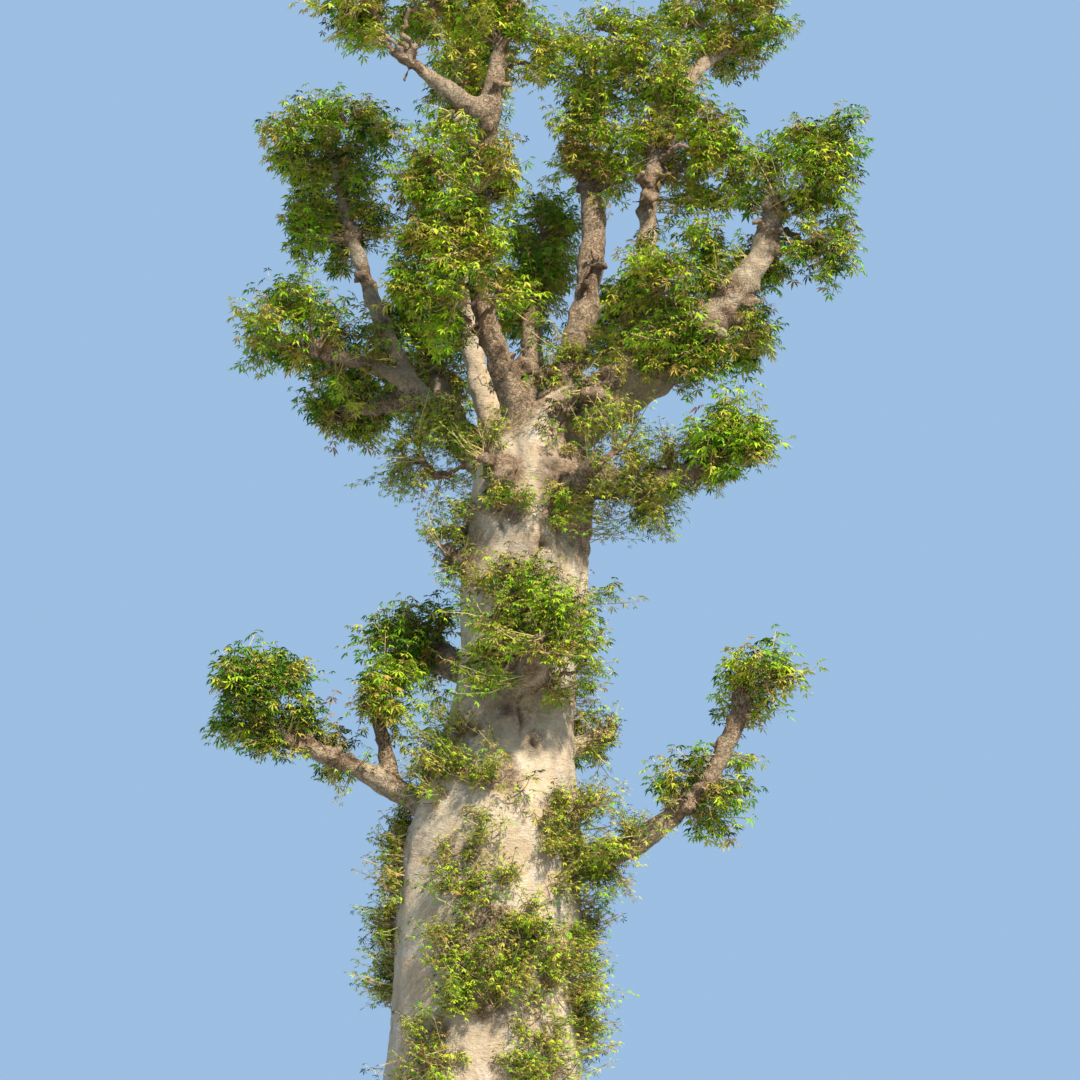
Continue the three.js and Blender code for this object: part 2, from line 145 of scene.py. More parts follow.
# Old wounds: height, heading, radius of the rim and depth of the hollow.
WOUNDS = (
    (8.95, 243, 0.14, 0.09), (8.35, 262, 0.14, 0.05), (8.1, 236, 0.1, 0.06), (7.95, 286, 0.07, 0.04),
    (11.05, 300, 0.11, 0.05), (10.15, 287, 0.1, 0.06), (9.75, 258, 0.09, 0.04), (6.75, 255, 0.12, 0.05),
    (5.15, 280, 0.12, 0.05), (9.1, 95, 0.16, 0.08), (7.6, 120, 0.13, 0.06), (5.6, 70, 0.15, 0.07),
    (3.4, 110, 0.14, 0.05), (3.1, 250, 0.13, 0.04), (2.3, 290, 0.16, 0.06), (1.5, 15, 0.18, 0.06),
    (2.6, 180, 0.14, 0.05), (10.3, 60, 0.12, 0.06), (8.6, 350, 0.12, 0.06),
)
BOUGH_WOUND = ("right_bough", 0.16, 262, 0.16, 0.10)  # bough, share along it, heading, rim and depth
# Upright creases in the trunk: height of the middle, heading, length and depth.
CREASES = (
    (10.2, 288, 0.7, 0.07), (10.55, 252, 0.6, 0.05), (4.45, 258, 0.7, 0.06), (8.3, 277, 0.6, 0.04),
    (8.6, 120, 0.9, 0.05), (10.3, 130, 0.8, 0.06), (5.3, 95, 0.8, 0.05),
)
BARK_COLOURS = {
    "cream": (0.66, 0.545, 0.37), "tan": (0.49, 0.35, 0.20), "chalk": (0.73, 0.68, 0.565),
    "pink": (0.53, 0.36, 0.245), "hazel": (0.42, 0.28, 0.155), "russet": (0.19, 0.10, 0.05),
    "ash": (0.32, 0.25, 0.17), "brown": (0.16, 0.085, 0.042), "umber": (0.060, 0.032, 0.018),
    "olive": (0.22, 0.20, 0.11),
}

# ---- The foliage ----

SPRAYS_PER_M2 = 10.3  # sprays for each square metre of a mass's outer surface
SPRAYS_PER_M3 = 10  # and for each cubic metre of a mass on a bough
SPROUTS_PER_M2 = 18  # short sprays for each square metre of bark inside a mass
TRUNK_REACH, ROOT_REACH = 0.42, 0.62  # how far a spray stands out at most, on trunk and boughs' roots
SPRAY_REACH = (-0.20, 0.10)  # how far a spray's head stands in or out from the mass's surface
SPROUT_REACH = (0.08, 0.28)
SPRAY_SPREAD, SHOOTS_IN_SPRAY = 0.12, 7
SHOOT_RINGS, SHOOT_WIDTH = 3, (0.012, 0.005)
TIP_ROOM = np.array([0.05, 0.05, 0.0])  # shoot tips keep this far from the sides of the tree's box
TURN_BACK = 1.5  # those beyond turn back by this many times what they are beyond
FINGER_EVERY = 0.11  # cubic metres of a mass for one finger, a stout twig
FINGER_WIDTH, FINGER_RINGS = (0.07, 0.035), 9
FINGER_FROM = 0.28  # a mass's inner points further than this from the wood get a finger
LEAF_GAP = 0.05  # along a shoot
LEAFY_SHARE = 0.72  # the outer part of a shoot that has leaves
LEAF_COUNT = (4, 9)
LEAF_LENGTH = (0.08, 0.125)  # a leaflet's, on a bough
LEAFLET_WIDTH = 0.29  # share of its length
LEAF_SCALE = {"big_front_tuft": 0.78}
TRUNK_LEAF, STRAY_LEAF = 0.62, 0.75  # how large leaves on the trunk and in stray sprays are beside these
STALK_LENGTH, STALK_WIDTH = (0.05, 0.10), 0.008
GOLDEN_ANGLE = math.radians(137.5)
# A leaflet's outline as along, across and down from flat: a whole one at a shoot's end, a sliver elsewhere.
LEAFLET = np.array([(0.0, 0.0, 0.0), (0.56, 0.5, 0.10), (1.0, 0.0, 0.46), (0.56, -0.5, 0.10)])
SLIVER = np.array([(0.0, 0.0, 0.0), (0.60, 0.75, 0.12), (1.0, -0.15, 0.42)])
LEAFLETS, LEAFLET_SHARES = (4, 5, 6), (0.2, 0.55, 0.25)  # how many a leaf has, and how often
# How crowded some masses are beside the usual.
TRUNK_CROWDING = 1.4
CROWDING = {
    "lower_right_tuft": 0.55, "left_strip": 2.4, "right_strip": 1.5, "front_patch": 0.9,
    "front_high_tuft": 1.3,
}
# Stray sprays on the trunk: height, heading, how far they scatter and how many.
TRUNK_STRAYS = (
    (10.55, 258, 0.22, 4), (10.5, 280, 0.22, 3), (10.5, 300, 0.25, 7), (9.6, 248, 0.32, 9),
    (9.6, 282, 0.32, 10), (9.95, 215, 0.3, 6), (9.4, 350, 0.35, 4), (8.6, 352, 0.3, 4),
    (7.4, 345, 0.3, 4), (7.3, 262, 0.35, 5), (6.1, 250, 0.4, 5), (6.0, 300, 0.3, 5), (5.0, 268, 0.5, 4),
    (3.6, 245, 0.5, 3), (9.0, 250, 0.3, 3), (11.3, 300, 0.3, 4), (10.6, 95, 0.5, 6), (9.5, 90, 0.5, 6),
    (8.2, 120, 0.5, 5), (6.4, 80, 0.6, 8), (5.4, 105, 0.6, 8), (4.4, 60, 0.5, 5),
)
# And on the boughs: the bough, from and to which share of it, and how many.
BOUGH_STRAYS = (
    ("lower_left_bough", 0.2, 0.85, 5), ("lower_left_bough", 0.85, 1.0, 14),
    ("lower_right_bough", 0.2, 0.9, 5), ("right_bough", 0.12, 0.4, 14), ("right_bough", 0.4, 0.9, 8),
    ("right_middle_bough", 0.2, 0.8, 4), ("right_leader", 0.08, 0.35, 9),
    ("right_leader", 0.4, 0.9, 4), ("centre_leader", 0.08, 0.3, 10), ("centre_leader", 0.3, 0.9, 4),
    ("back_leader", 0.1, 0.5, 5), ("left_bough", 0.0, 0.42, 18), ("left_side_branch", 0.5, 0.95, 4),
    ("lower_back_bough", 0.2, 0.9, 4), ("back_right_bough", 0.2, 0.9, 3),
    ("back_left_bough", 0.2, 0.9, 3), ("back_bough", 0.2, 0.9, 3),
)
STRAY_LEAN = (0.0, -0.6, 0.8)  # the side of a bough they mostly grow on

# Colours in linear light. leaf_bright is the green with painted sunlight and leaf_shaded the green with
# painted shade.
LEAF_COLOURS = {
    "leaf_bright": (0.2, 0.39, 0.009), "leaf_fresh": (0.36, 0.48, 0.016), "leaf_deep": (0.07, 0.18, 0.008),
    "leaf_shaded": (0.028, 0.062, 0.006), "leaf_yellow": (0.45, 0.42, 0.04),
    "leaf_olive": (0.36, 0.26, 0.045), "leaf_dry": (0.28, 0.15, 0.055), "leaf_stalk": (0.56, 0.44, 0.15),
}
STALK = 7  # the slot of the stalks' colour
# The shares of the other seven, at a mass's surface and near its wood. The bright ones at the surface are
# painted sunlight and the shaded ones near the wood painted shade, besides yellow, olive and dry leaves
# there.
OUTER_SHARES = np.array([0.29, 0.34, 0.16, 0.08, 0.07, 0.05, 0.01])
INNER_SHARES = np.array([0.05, 0.15, 0.08, 0.13, 0.25, 0.28, 0.06])
TRUNK_WARMTH = 0.1  # how much nearer to the second row the leaves on the trunk are
# Painted sunlight and painted shade on whole masses: in some masses a share of the deep and shaded sprays
# is yellow instead, as painted sunlight. A share below 0 is that of the bright and fresh ones that is deep
# instead, as painted shade.
DEEP, SHADED, YELLOW = 2, 3, 4
PAINTED_SUN_SHIFT = {
    "top_centre_tuft": 0.7, "top_back_tuft": 0.5, "centre_leader_tuft": 0.7, "right_leader_tuft": 0.6,
    "right_leader_sleeve": 0.5, "top_left_tuft": 0.4, "leader_high_sleeve": 0.4, "leader_low_sleeve": 0.4,
    "lower_left_tuft": -0.6, "back_left_stub_tuft": -0.6, "left_low_tuft": -0.5, "left_side_tuft": -0.3,
}
SHOOT_COLOURS = {
    "shoot_green": (0.38, 0.36, 0.09), "shoot_tan": (0.52, 0.38, 0.17), "shoot_brown": (0.22, 0.12, 0.06),
    "twig_bark": (0.2, 0.125, 0.075),
}
SHOOT_SHARES, TWIG_BARK = (0.34, 0.38, 0.28), 3  # of the first three, and the slot of the last

PLAIN_GLOSS, LEAF_GLOSS = 0.25, 0.12
LEAF_ROUGHNESS, SHOOT_ROUGHNESS, FLOOR_ROUGHNESS = 0.55, 0.7, 0.9

# ---- The studio ----

CAMERA_PLACE, CAMERA_TILT = (0.7, -30.0, 1.6), 16.35  # at eye height, tilted up at the crown
CAMERA_LENS, CAMERA_SENSOR, CAMERA_FAR = 93.91, 36, 200
FLOOR_RADIUS, FLOOR_SIDES, FLOOR_DROP = 120.0, 96, 0.002
FLOOR_COLOUR, SKY_COLOUR, SKY_STRENGTH = (0.36, 0.36, 0.35), (0.44, 0.68, 1.0), 0.76
SUN_COLOUR, SUN_STRENGTH, SUN_WIDTH = (1.0, 0.94, 0.84), 7.3, 3
SUN_TILT, SUN_TURN = 48, 31  # degrees from overhead, and round from the front


# ---- Vectors and noise ----

def lengths_of(vectors):
    return np.linalg.norm(vectors, axis=-1)


def unit(vectors):
    """Vectors scaled to length 1."""
    return vectors / np.maximum(np.linalg.norm(vectors, axis=-1, keepdims=True), 1e-9)


def across(directions):
    """Two unit vectors at right angles to each direction and to each other."""
    helper = np.where(np.abs(directions[..., 2:3]) < 0.9, UP, (1.0, 0.0, 0.0))
    side = unit(np.cross(directions, helper))
    return side, np.cross(directions, side)


def smoothstep(low, high, value):
    share = np.clip((value - low) / (high - low), 0, 1)
    return share * share * (3 - 2 * share)


def bell(value):
    """1 at 0, falling smoothly to nearly 0 at 2."""
    return np.exp(-(value**2))


def compass(heading):
    """The level unit vector of a heading."""
    angle = math.radians(heading)
    return np.array([math.cos(angle), math.sin(angle), 0.0])


def closest(spots, points):
    """The index of the closest point to each spot, and how far it is."""
    tree = KDTree(len(points))
    for i, point in enumerate(points):
        tree.insert(point, i)
    tree.balance()
    found = [tree.find(spot) for spot in spots]
    return np.array([hit[1] for hit in found], int), np.array([hit[2] for hit in found])


class Noise:
    """Smooth repeatable noise, about -1 to 1, at points in space."""

    def __init__(self, seed):
        rng = np.random.default_rng(seed)
        self.order = rng.permutation(256)
        self.slopes = unit(rng.normal(size=(256, 3)))

    def __call__(self, points, scale=1.0):
        points = points / scale
        cell = np.floor(points).astype(int)
        part = points - cell
        fade = part**3 * (part * (part * 6 - 15) + 10)
        total = np.zeros(len(points))
        for corner in product((0, 1), repeat=3):
            x, y, z = (cell + corner).T & 255
            slope = self.slopes[self.order[(self.order[(self.order[x] + y) & 255] + z) & 255]]
            weight = np.where(corner, fade, 1 - fade).prod(axis=1)
            total += weight * (slope * (part - corner)).sum(axis=1)
        return 1.6 * total


# ---- Meshes ----

def get_values(items, key, width=3, kind=np.float32):
    values = np.empty(len(items) * width, kind)
    items.foreach_get(key, values)
    return values.reshape(-1, width)


def set_values(items, key, values, kind=np.float32):
    items.foreach_set(key, np.ascontiguousarray(values, kind).ravel())


def points_of(mesh):
    return get_values(mesh.vertices, "co").astype(float)


def normals_of(mesh):
    return get_values(mesh.vertex_normals, "vector").astype(float)


def edges_of(mesh):
    return get_values(mesh.edges, "vertices", 2, np.int32)


def triangles_of(mesh):
    mesh.calc_loop_triangles()
    return get_values(mesh.loop_triangles, "vertices", 3, np.int32)


def place_points(mesh, points):
    set_values(mesh.vertices, "co", points)
    mesh.update()


def linked(name, data):
    """A new object in the scene."""
    obj = bpy.data.objects.new(name, data)
    bpy.context.scene.collection.objects.link(obj)
    return obj


def new_object(name, points, faces, materials, slots=None):
    """A flat-shaded object from arrays of points and of faces with one number of corners."""
    mesh = bpy.data.meshes.new(name)
    mesh.vertices.add(len(points))
    set_values(mesh.vertices, "co", points)
    mesh.loops.add(faces.size)
    set_values(mesh.loops, "vertex_index", faces, np.int32)
    mesh.polygons.add(len(faces))
    set_values(mesh.polygons, "loop_start", np.arange(len(faces)) * faces.shape[1], np.int32)
    for material in materials:
        mesh.materials.append(material)
    if slots is not None:
        set_values(mesh.polygons, "material_index", slots, np.int32)
    set_values(mesh.polygons, "use_smooth", np.zeros(len(faces)), bool)
    mesh.update(calc_edges=True)
    mesh.validate()
    return linked(name, mesh)


def with_modifier(obj, kind, **settings):
    """The mesh of an object after one modifier. The object itself goes."""
    modifier = obj.modifiers.new("once", kind)
    for key, value in settings.items():
        setattr(modifier, key, value)
    mesh = bpy.data.meshes.new_from_object(obj.evaluated_get(bpy.context.evaluated_depsgraph_get()))
    bpy.data.objects.remove(obj)
    return mesh


class Shell:
    """Points and triangles that grow as shapes are added."""

    def __init__(self):
        self.points, self.faces, self.count = [], [], 0

    def add(self, points, faces):
        self.points.append(points)
        self.faces.append(faces + self.count)
        self.count += len(points)

    def arrays(self):
        return np.concatenate(self.points), np.concatenate(self.faces)


def copied(faces, count, size):
    """The faces of a shape for so many copies, each with so many points of its own."""
    return (faces[None] + (np.arange(count) * size)[:, None, None]).reshape(-1, 3)


def tubes(lines, widths, sides):
    """Closed tapering tubes: lines is (tubes, rings, 3) and widths (tubes, rings)."""
    count, rings, _ = lines.shape
    tangents = unit(np.gradient(lines, axis=1))
    side, other = across(np.repeat(tangents[:, :1], rings, axis=1))
    angles = np.arange(sides) / sides * 2 * math.pi
    spokes = side[:, :, None] * np.cos(angles)[:, None] + other[:, :, None] * np.sin(angles)[:, None]
    along = tangents[:, :, None]
    spokes = unit(spokes - along * (spokes * along).sum(-1, keepdims=True))
    points = lines[:, :, None] + spokes * widths[:, :, None, None] / 2
    first = np.arange(sides)
    second = np.roll(first, -1)
    wall = []
    for low in np.arange(rings - 1) * sides:
        high = low + sides
        wall.append(np.stack([low + first, low + second, high + second], 1))
        wall.append(np.stack([low + first, high + second, high + first], 1))
    fan = np.arange(1, sides - 1)
    wall.append(np.stack([np.zeros_like(fan), fan + 1, fan], 1))
    top = (rings - 1) * sides
    wall.append(np.stack([np.full_like(fan, top), top + fan, top + fan + 1], 1))
    return points.reshape(-1, 3), copied(np.concatenate(wall), count, rings * sides)


def ball(middle, radius):
    """A closed round knob, as points and triangles."""
    latitude = np.linspace(0.15, math.pi - 0.15, BALL_RINGS)
    line = middle + np.outer(-np.cos(latitude), UP) * radius
    return tubes(line[None], 2 * radius * np.sin(latitude)[None], BALL_SIDES)


def crossed_edges(points, faces):
    """The normals of triangles, each as long as twice the triangle's area."""
    corners = points[faces]
    return np.cross(corners[:, 1] - corners[:, 0], corners[:, 2] - corners[:, 0])


# ---- The CAD's solids, and the boughs' middle lines read from them ----

class Solid:
    """A CAD node's points and triangles, with a tree to ask what is inside it."""

    RAY = Vector((0.31, 0.17, 0.93)).normalized()

    def __init__(self, name):
        mesh = frame["nodes"][name].data
        self.name = name
        self.points, self.faces, self.edges = points_of(mesh), triangles_of(mesh), edges_of(mesh)
        self.tree = BVHTree.FromPolygons(self.points.tolist(), self.faces.tolist())
        crossed = crossed_edges(self.points, self.faces)
        self.areas = lengths_of(crossed) / 2
        self.outward = unit(crossed)
        self.volume = (self.points[self.faces[:, 0]] * crossed).sum() / 6
        self.low, self.high = self.points.min(axis=0), self.points.max(axis=0)

    def encloses(self, spot):
        """Whether a line from the spot crosses the surface an odd number of times."""
        if (spot < self.low).any() or (spot > self.high).any():
            return False
        crossings, place = 0, Vector(spot)
        while True:
            place = self.tree.ray_cast(place, self.RAY)[0]
            if place is None:
                return crossings % 2 == 1
            crossings, place = crossings + 1, place + self.RAY * 1e-5

    def depth(self, spot):
        """How far inside the solid a spot is, or less than 0 outside it."""
        gap = self.tree.find_nearest(Vector(spot))[3]
        return gap if self.encloses(spot) else -gap

    def on_surface(self, rng, count):
        """Random points on the surface, and the outward directions there."""
        chosen = rng.choice(len(self.faces), count, p=self.areas / self.areas.sum())
        a, b, c = (self.points[self.faces[chosen, k]] for k in range(3))
        first, second = np.sqrt(rng.random((count, 1))), rng.random((count, 1))
        return a * (1 - first) + b * first * (1 - second) + c * first * second, self.outward[chosen]

    def boxed(self, points, margin):
        """The indices of the points in the solid's box with a margin."""
        return np.flatnonzero(((points > self.low - margin) & (points < self.high + margin)).all(axis=1))

    def held(self, points, chosen, margin):
        """Those of the chosen indices whose points are in the solid with a margin."""
        return np.array([i for i in chosen if self.depth(points[i]) > -margin], int)

    def inside(self, rng, count):
        spots = []
        while len(spots) < count:
            spot = rng.uniform(self.low, self.high)
            if self.depth(spot) > 0:
                spots.append(spot)
        return np.array(spots)


def is_on_trunk(mass):
    """Whether a mass of foliage sits on the trunk or at a bough's root."""
    return hugs_trunk(mass) or mass.name.endswith(("knob_tuft", "root_mass", "high_tuft"))


def hugs_trunk(mass):
    """Whether a mass is a thin cover of the trunk."""
    return mass.name.endswith(("patch", "band", "strip"))


def on_trunk(trunk, height, heading):
    """The point of the trunk's surface at a height and a heading."""
    band = trunk.points[np.abs(trunk.points[:, 2] - height) < 1.0]
    middle = (band.min(axis=0) + band.max(axis=0)) / 2
    outward = compass(heading)
    origin = Vector((middle[0], 0, height)) + Vector(outward) * 4
    return np.array(trunk.tree.ray_cast(origin, Vector(-outward))[0])


def cross_section(solid, origin, direction):
    """The middle and the area of a solid's section by a plane, with no area where the plane misses it."""
    height = (solid.points - origin) @ direction
    below, above = solid.edges.T
    cut = height[below] * height[above] < 0
    if cut.sum() < 6:
        return origin, 0
    below, above = below[cut], above[cut]
    share = height[below] / (height[below] - height[above])
    ring = solid.points[below] + (solid.points[above] - solid.points[below]) * share[:, None]
    side, other = across(direction)
    x, y = (ring - origin) @ side, (ring - origin) @ other
    order = np.argsort(np.arctan2(y - y.mean(), x - x.mean()))
    x, y = x[order], y[order]
    next_x, next_y = np.roll(x, -1), np.roll(y, -1)
    twice = x * next_y - next_x * y
    area = twice.sum() / 2
    if area < 1e-4:
        return origin, 0
    shift_x, shift_y = ((x + next_x) * twice).sum() / (6 * area), ((y + next_y) * twice).sum() / (6 * area)
    return origin + side * shift_x + other * shift_y, area


class Limb:
    """The middle line of a bough from inside its root to its tip, with its radius along it."""

    SLICES = 24
    LONG = 1.2  # a shorter bough is taken as straight

    def __init__(self, solid):
        axis, root = self.find_axis(solid)
        cuts = [
            (share, *cross_section(solid, root + axis * self.length * share, axis))
            for share in np.linspace(0.03, 0.97, self.SLICES)
        ]
        shares, middles, areas = (np.array(column) for column in zip(*(cut for cut in cuts if cut[2])))
        is_long = self.length > self.LONG
        whole = shares > (0.2 if is_long else 0.4)
        self.first = shares[whole].min()
        self.course = np.polyfit(shares[whole], middles[whole], 3 if is_long else 1)
        self.taper = np.polyfit(shares[whole], np.sqrt(areas[whole] / math.pi), 1) * SLIM.get(solid.name, 1)
        self.mouth, self.start = 0.0, -0.2 / self.length
        self.root_radius = self.radius(0)[0]

    def find_axis(self, solid):
        """The solid's long axis, and its root: the end that is lower and nearer to the fork."""
        middle = solid.points.mean(axis=0)
        axis = np.linalg.svd(solid.points - middle, full_matrices=False)[2][0]
        reach = (solid.points - middle) @ axis
        ends = [middle + axis * reach.min(), middle + axis * reach.max()]
        away = [math.hypot(end[0] - FORK_X, end[1]) + 0.5 * end[2] for end in ends]
        if away[0] > away[1]:
            axis, ends = -axis, ends[::-1]
        self.length = np.linalg.norm(ends[1] - ends[0])
        return axis, ends[0]

    def at(self, share):
        """Points on the line. Nearer the root than the sections reach, it runs straight."""
        share = np.atleast_1d(share).astype(float)
        held = np.maximum(share, self.first)
        power = np.arange(len(self.course) - 1, -1, -1)
        slope = (self.course[:-1] * power[:-1, None] * self.first ** (power[:-1, None] - 1)).sum(axis=0)
        return held[:, None] ** power @ self.course + (share - held)[:, None] * slope

    def radius(self, share):
        share = np.atleast_1d(share)
        plain = np.polyval(self.taper, np.clip(share, 0.05, 1))
        return plain * (1 + ROOT_SWELL * np.exp(-ROOT_FADE * np.maximum(share - self.mouth, 0)))

    def skin(self, share, outward):
        """The point of the bough's skin out from a place on the line."""
        return self.at(share)[0] + outward * self.radius(share)[0]

    def bury(self, carriers):
        """Finds where the line leaves what carries it, and starts the bough where it is deepest in that."""
        shares = np.arange(-BURIED, BURIED + 0.2, 0.05) / self.length
        depths = np.array([max(solid.depth(spot) for solid in carriers) for spot in self.at(shares)])
        inside = np.flatnonzero(depths > 0)
        if len(inside):
            self.mouth = shares[inside[-1]]
            deepest = inside[depths[inside].argmax()]
            self.start = min(shares[deepest], self.mouth - 0.05 / self.length)
            self.root_radius = min(self.radius(self.mouth)[0], max(0.9 * depths[deepest], 0.05))

    def rings(self):
        """Shares, points and radii of the rings of the bough's tube."""
        shares = np.linspace(self.start, 1, max(6, round(self.length / TUBE_STEP)))
        buried = np.clip((self.mouth - shares) / (self.mouth - self.start), 0, 1)
        return shares, self.at(shares), self.radius(shares) * (1 - buried) + self.root_radius * buried


# ---- Wood ----

def clusters(spots, count, rounds=6):
    """The middles of some clusters of spots."""
    middles = spots[:count].copy()
    for _ in range(rounds):
        owner = lengths_of(spots[:, None] - middles[None]).argmin(axis=1)
        for k in range(count):
            if (owner == k).any():
                middles[k] = spots[owner == k].mean(axis=0)
    return middles


class RoughWood:
    """Trunk, boughs, knuckles and burls as one pile of closed shapes."""

    def __init__(self, trunk, limbs):
        self.shell = Shell()
        self.rng = np.random.default_rng(BARK_SEED)
        self.burl_balls = []
        self.shell.add(trunk.points, trunk.faces)
        # Rows of a place for a burl, the way out of the wood there, and how large a burl has room there.
        spots, outward = trunk.on_surface(self.rng, TRUNK_SPOTS)
        self.skin = [*np.column_stack([spots, outward, np.full(TRUNK_SPOTS, BURL_SIZE[1])])]
        mouths = {name: limb.at(limb.mouth)[0] for name, limb in limbs.items()}
        for name, limb in limbs.items():
            gaps = [np.linalg.norm(mouths[other] - limb.at(1)[0]) for other in limbs if other != name]
            self.add_limb(limb, min(gaps) < FORKED)

    def add_limb(self, limb, forked):
        rng = self.rng
        shares, line, radii = limb.rings()
        wander = np.cumsum(rng.normal(size=line.shape) * 0.005, axis=0)
        line = line + wander * smoothstep(limb.mouth, limb.mouth + 0.3, shares)[:, None]
        self.shell.add(*tubes(line[None], 2 * radii[None], TUBE_SIDES))
        side, other = across(unit(np.gradient(line, axis=0)))
        open_rings = np.flatnonzero(shares > limb.mouth + 0.08)
        for i, angle in product(open_rings, np.arange(8) / 8 * 2 * math.pi):
            outward = side[i] * math.cos(angle) + other[i] * math.sin(angle)
            self.skin.append([*(line[i] + outward * radii[i]), *outward, BURL_ON_THIN * radii[i]])
        for _ in range(max(1, round(limb.length / KNUCKLE_EVERY))):
            i = rng.choice(open_rings)
            angle = rng.uniform(0, 2 * math.pi)
            outward = side[i] * math.cos(angle) + other[i] * math.sin(angle)
            size = radii[i] * rng.uniform(0.5, 0.8)
            self.shell.add(*ball(line[i] + outward * (radii[i] - 0.7 * size), size))
        if forked:
            self.shell.add(*ball(line[-1], 1.05 * radii[-1]))
        else:
            self.shell.add(*ball(line[-1], radii[-1]))
            self.add_burl(line[-1], unit(line[-1] - line[-3]), HEAD_SIZE * radii[-1])

    def add_burl(self, place, outward, size):
        """A fist of round knobs with a few short stubs, standing out from the bark."""
        rng = self.rng
        for _ in range(BURL_BALLS):
            middle = place + outward * size * rng.uniform(0.1, 1.5) + rng.normal(size=3) * 0.5 * size
            radius = size * rng.uniform(0.4, 0.75)
            self.shell.add(*ball(middle, radius))
            self.burl_balls.append((middle, radius))
        for _ in range(BURL_STUBS):
            way = unit(outward * 0.8 + rng.normal(size=3) * 0.6 + UP * 0.2)
            line = place + np.outer(np.linspace(0.4, rng.uniform(2.0, 3.2), 4), way) * size
            self.shell.add(*tubes(line[None], np.linspace(1.1, 0.7, 4)[None] * size * 0.75, 8))
            self.burl_balls.append((line[-1], 0.4 * size))

    def add_mass_burls(self, mass):
        """Burls on the wood inside a mass of foliage."""
        places, outward, room = np.split(np.array(self.skin), (3, 6), axis=1)
        near = mass.held(places, mass.boxed(places, 0.05), 0.06)
        count = min(len(near), max(1, round(mass.areas.sum() * BURLS_PER_M2)))
        if not count:
            return
        near = self.rng.permutation(near)
        index, _ = closest(clusters(places[near], count), places[near])
        for i in near[np.unique(index)]:
            size = self.rng.uniform(*BURL_SIZE) * (TRUNK_BURL if is_on_trunk(mass) else 1)
            self.add_burl(places[i], unit(outward[i] + UP * 0.35), min(size, room[i, 0]))

    def add_named_burls(self, trunk, limbs):
        """A bar of burls between two boughs above the fork, the knots, and the burls of the stumps."""
        first, share, second, other_share = CROTCH_BURL
        start, end = limbs[first].at(share)[0], limbs[second].at(other_share)[0]
        for part in np.linspace(0.1, 0.9, 6):
            self.add_burl(start + (end - start) * part, np.array([0.0, -0.6, -0.3]), CROTCH_BURL_SIZE)
        for name, knots in KNOTS.items():
            for share, heading, size in knots:
                outward = compass(heading)
                self.add_burl(limbs[name].skin(share, outward) - outward * 0.6 * size, outward, size)
        for height, heading in STUMPS:
            self.add_burl(on_trunk(trunk, height, heading), unit(compass(heading) + UP * 0.6), BURL_SIZE[1])

    def remeshed(self):
        """The outer skin of the pile as one even mesh."""
        rough = new_object("rough_wood", *self.shell.arrays(), [])
        return with_modifier(rough, "REMESH", mode="VOXEL", voxel_size=VOXEL)


def smoothed(points, edges, rounds, share):
    """Points drawn towards the mean of their neighbours by a share of the way, some rounds."""
    here, there = np.concatenate([edges, edges[:, ::-1]]).T
    size = len(points)
    count = np.bincount(here, minlength=size).clip(1)[:, None]
    for _ in range(rounds):
        near = np.stack([np.bincount(here, weights=axis, minlength=size) for axis in points[there].T], 1)
        points = points + share * (near / count - points)
    return points


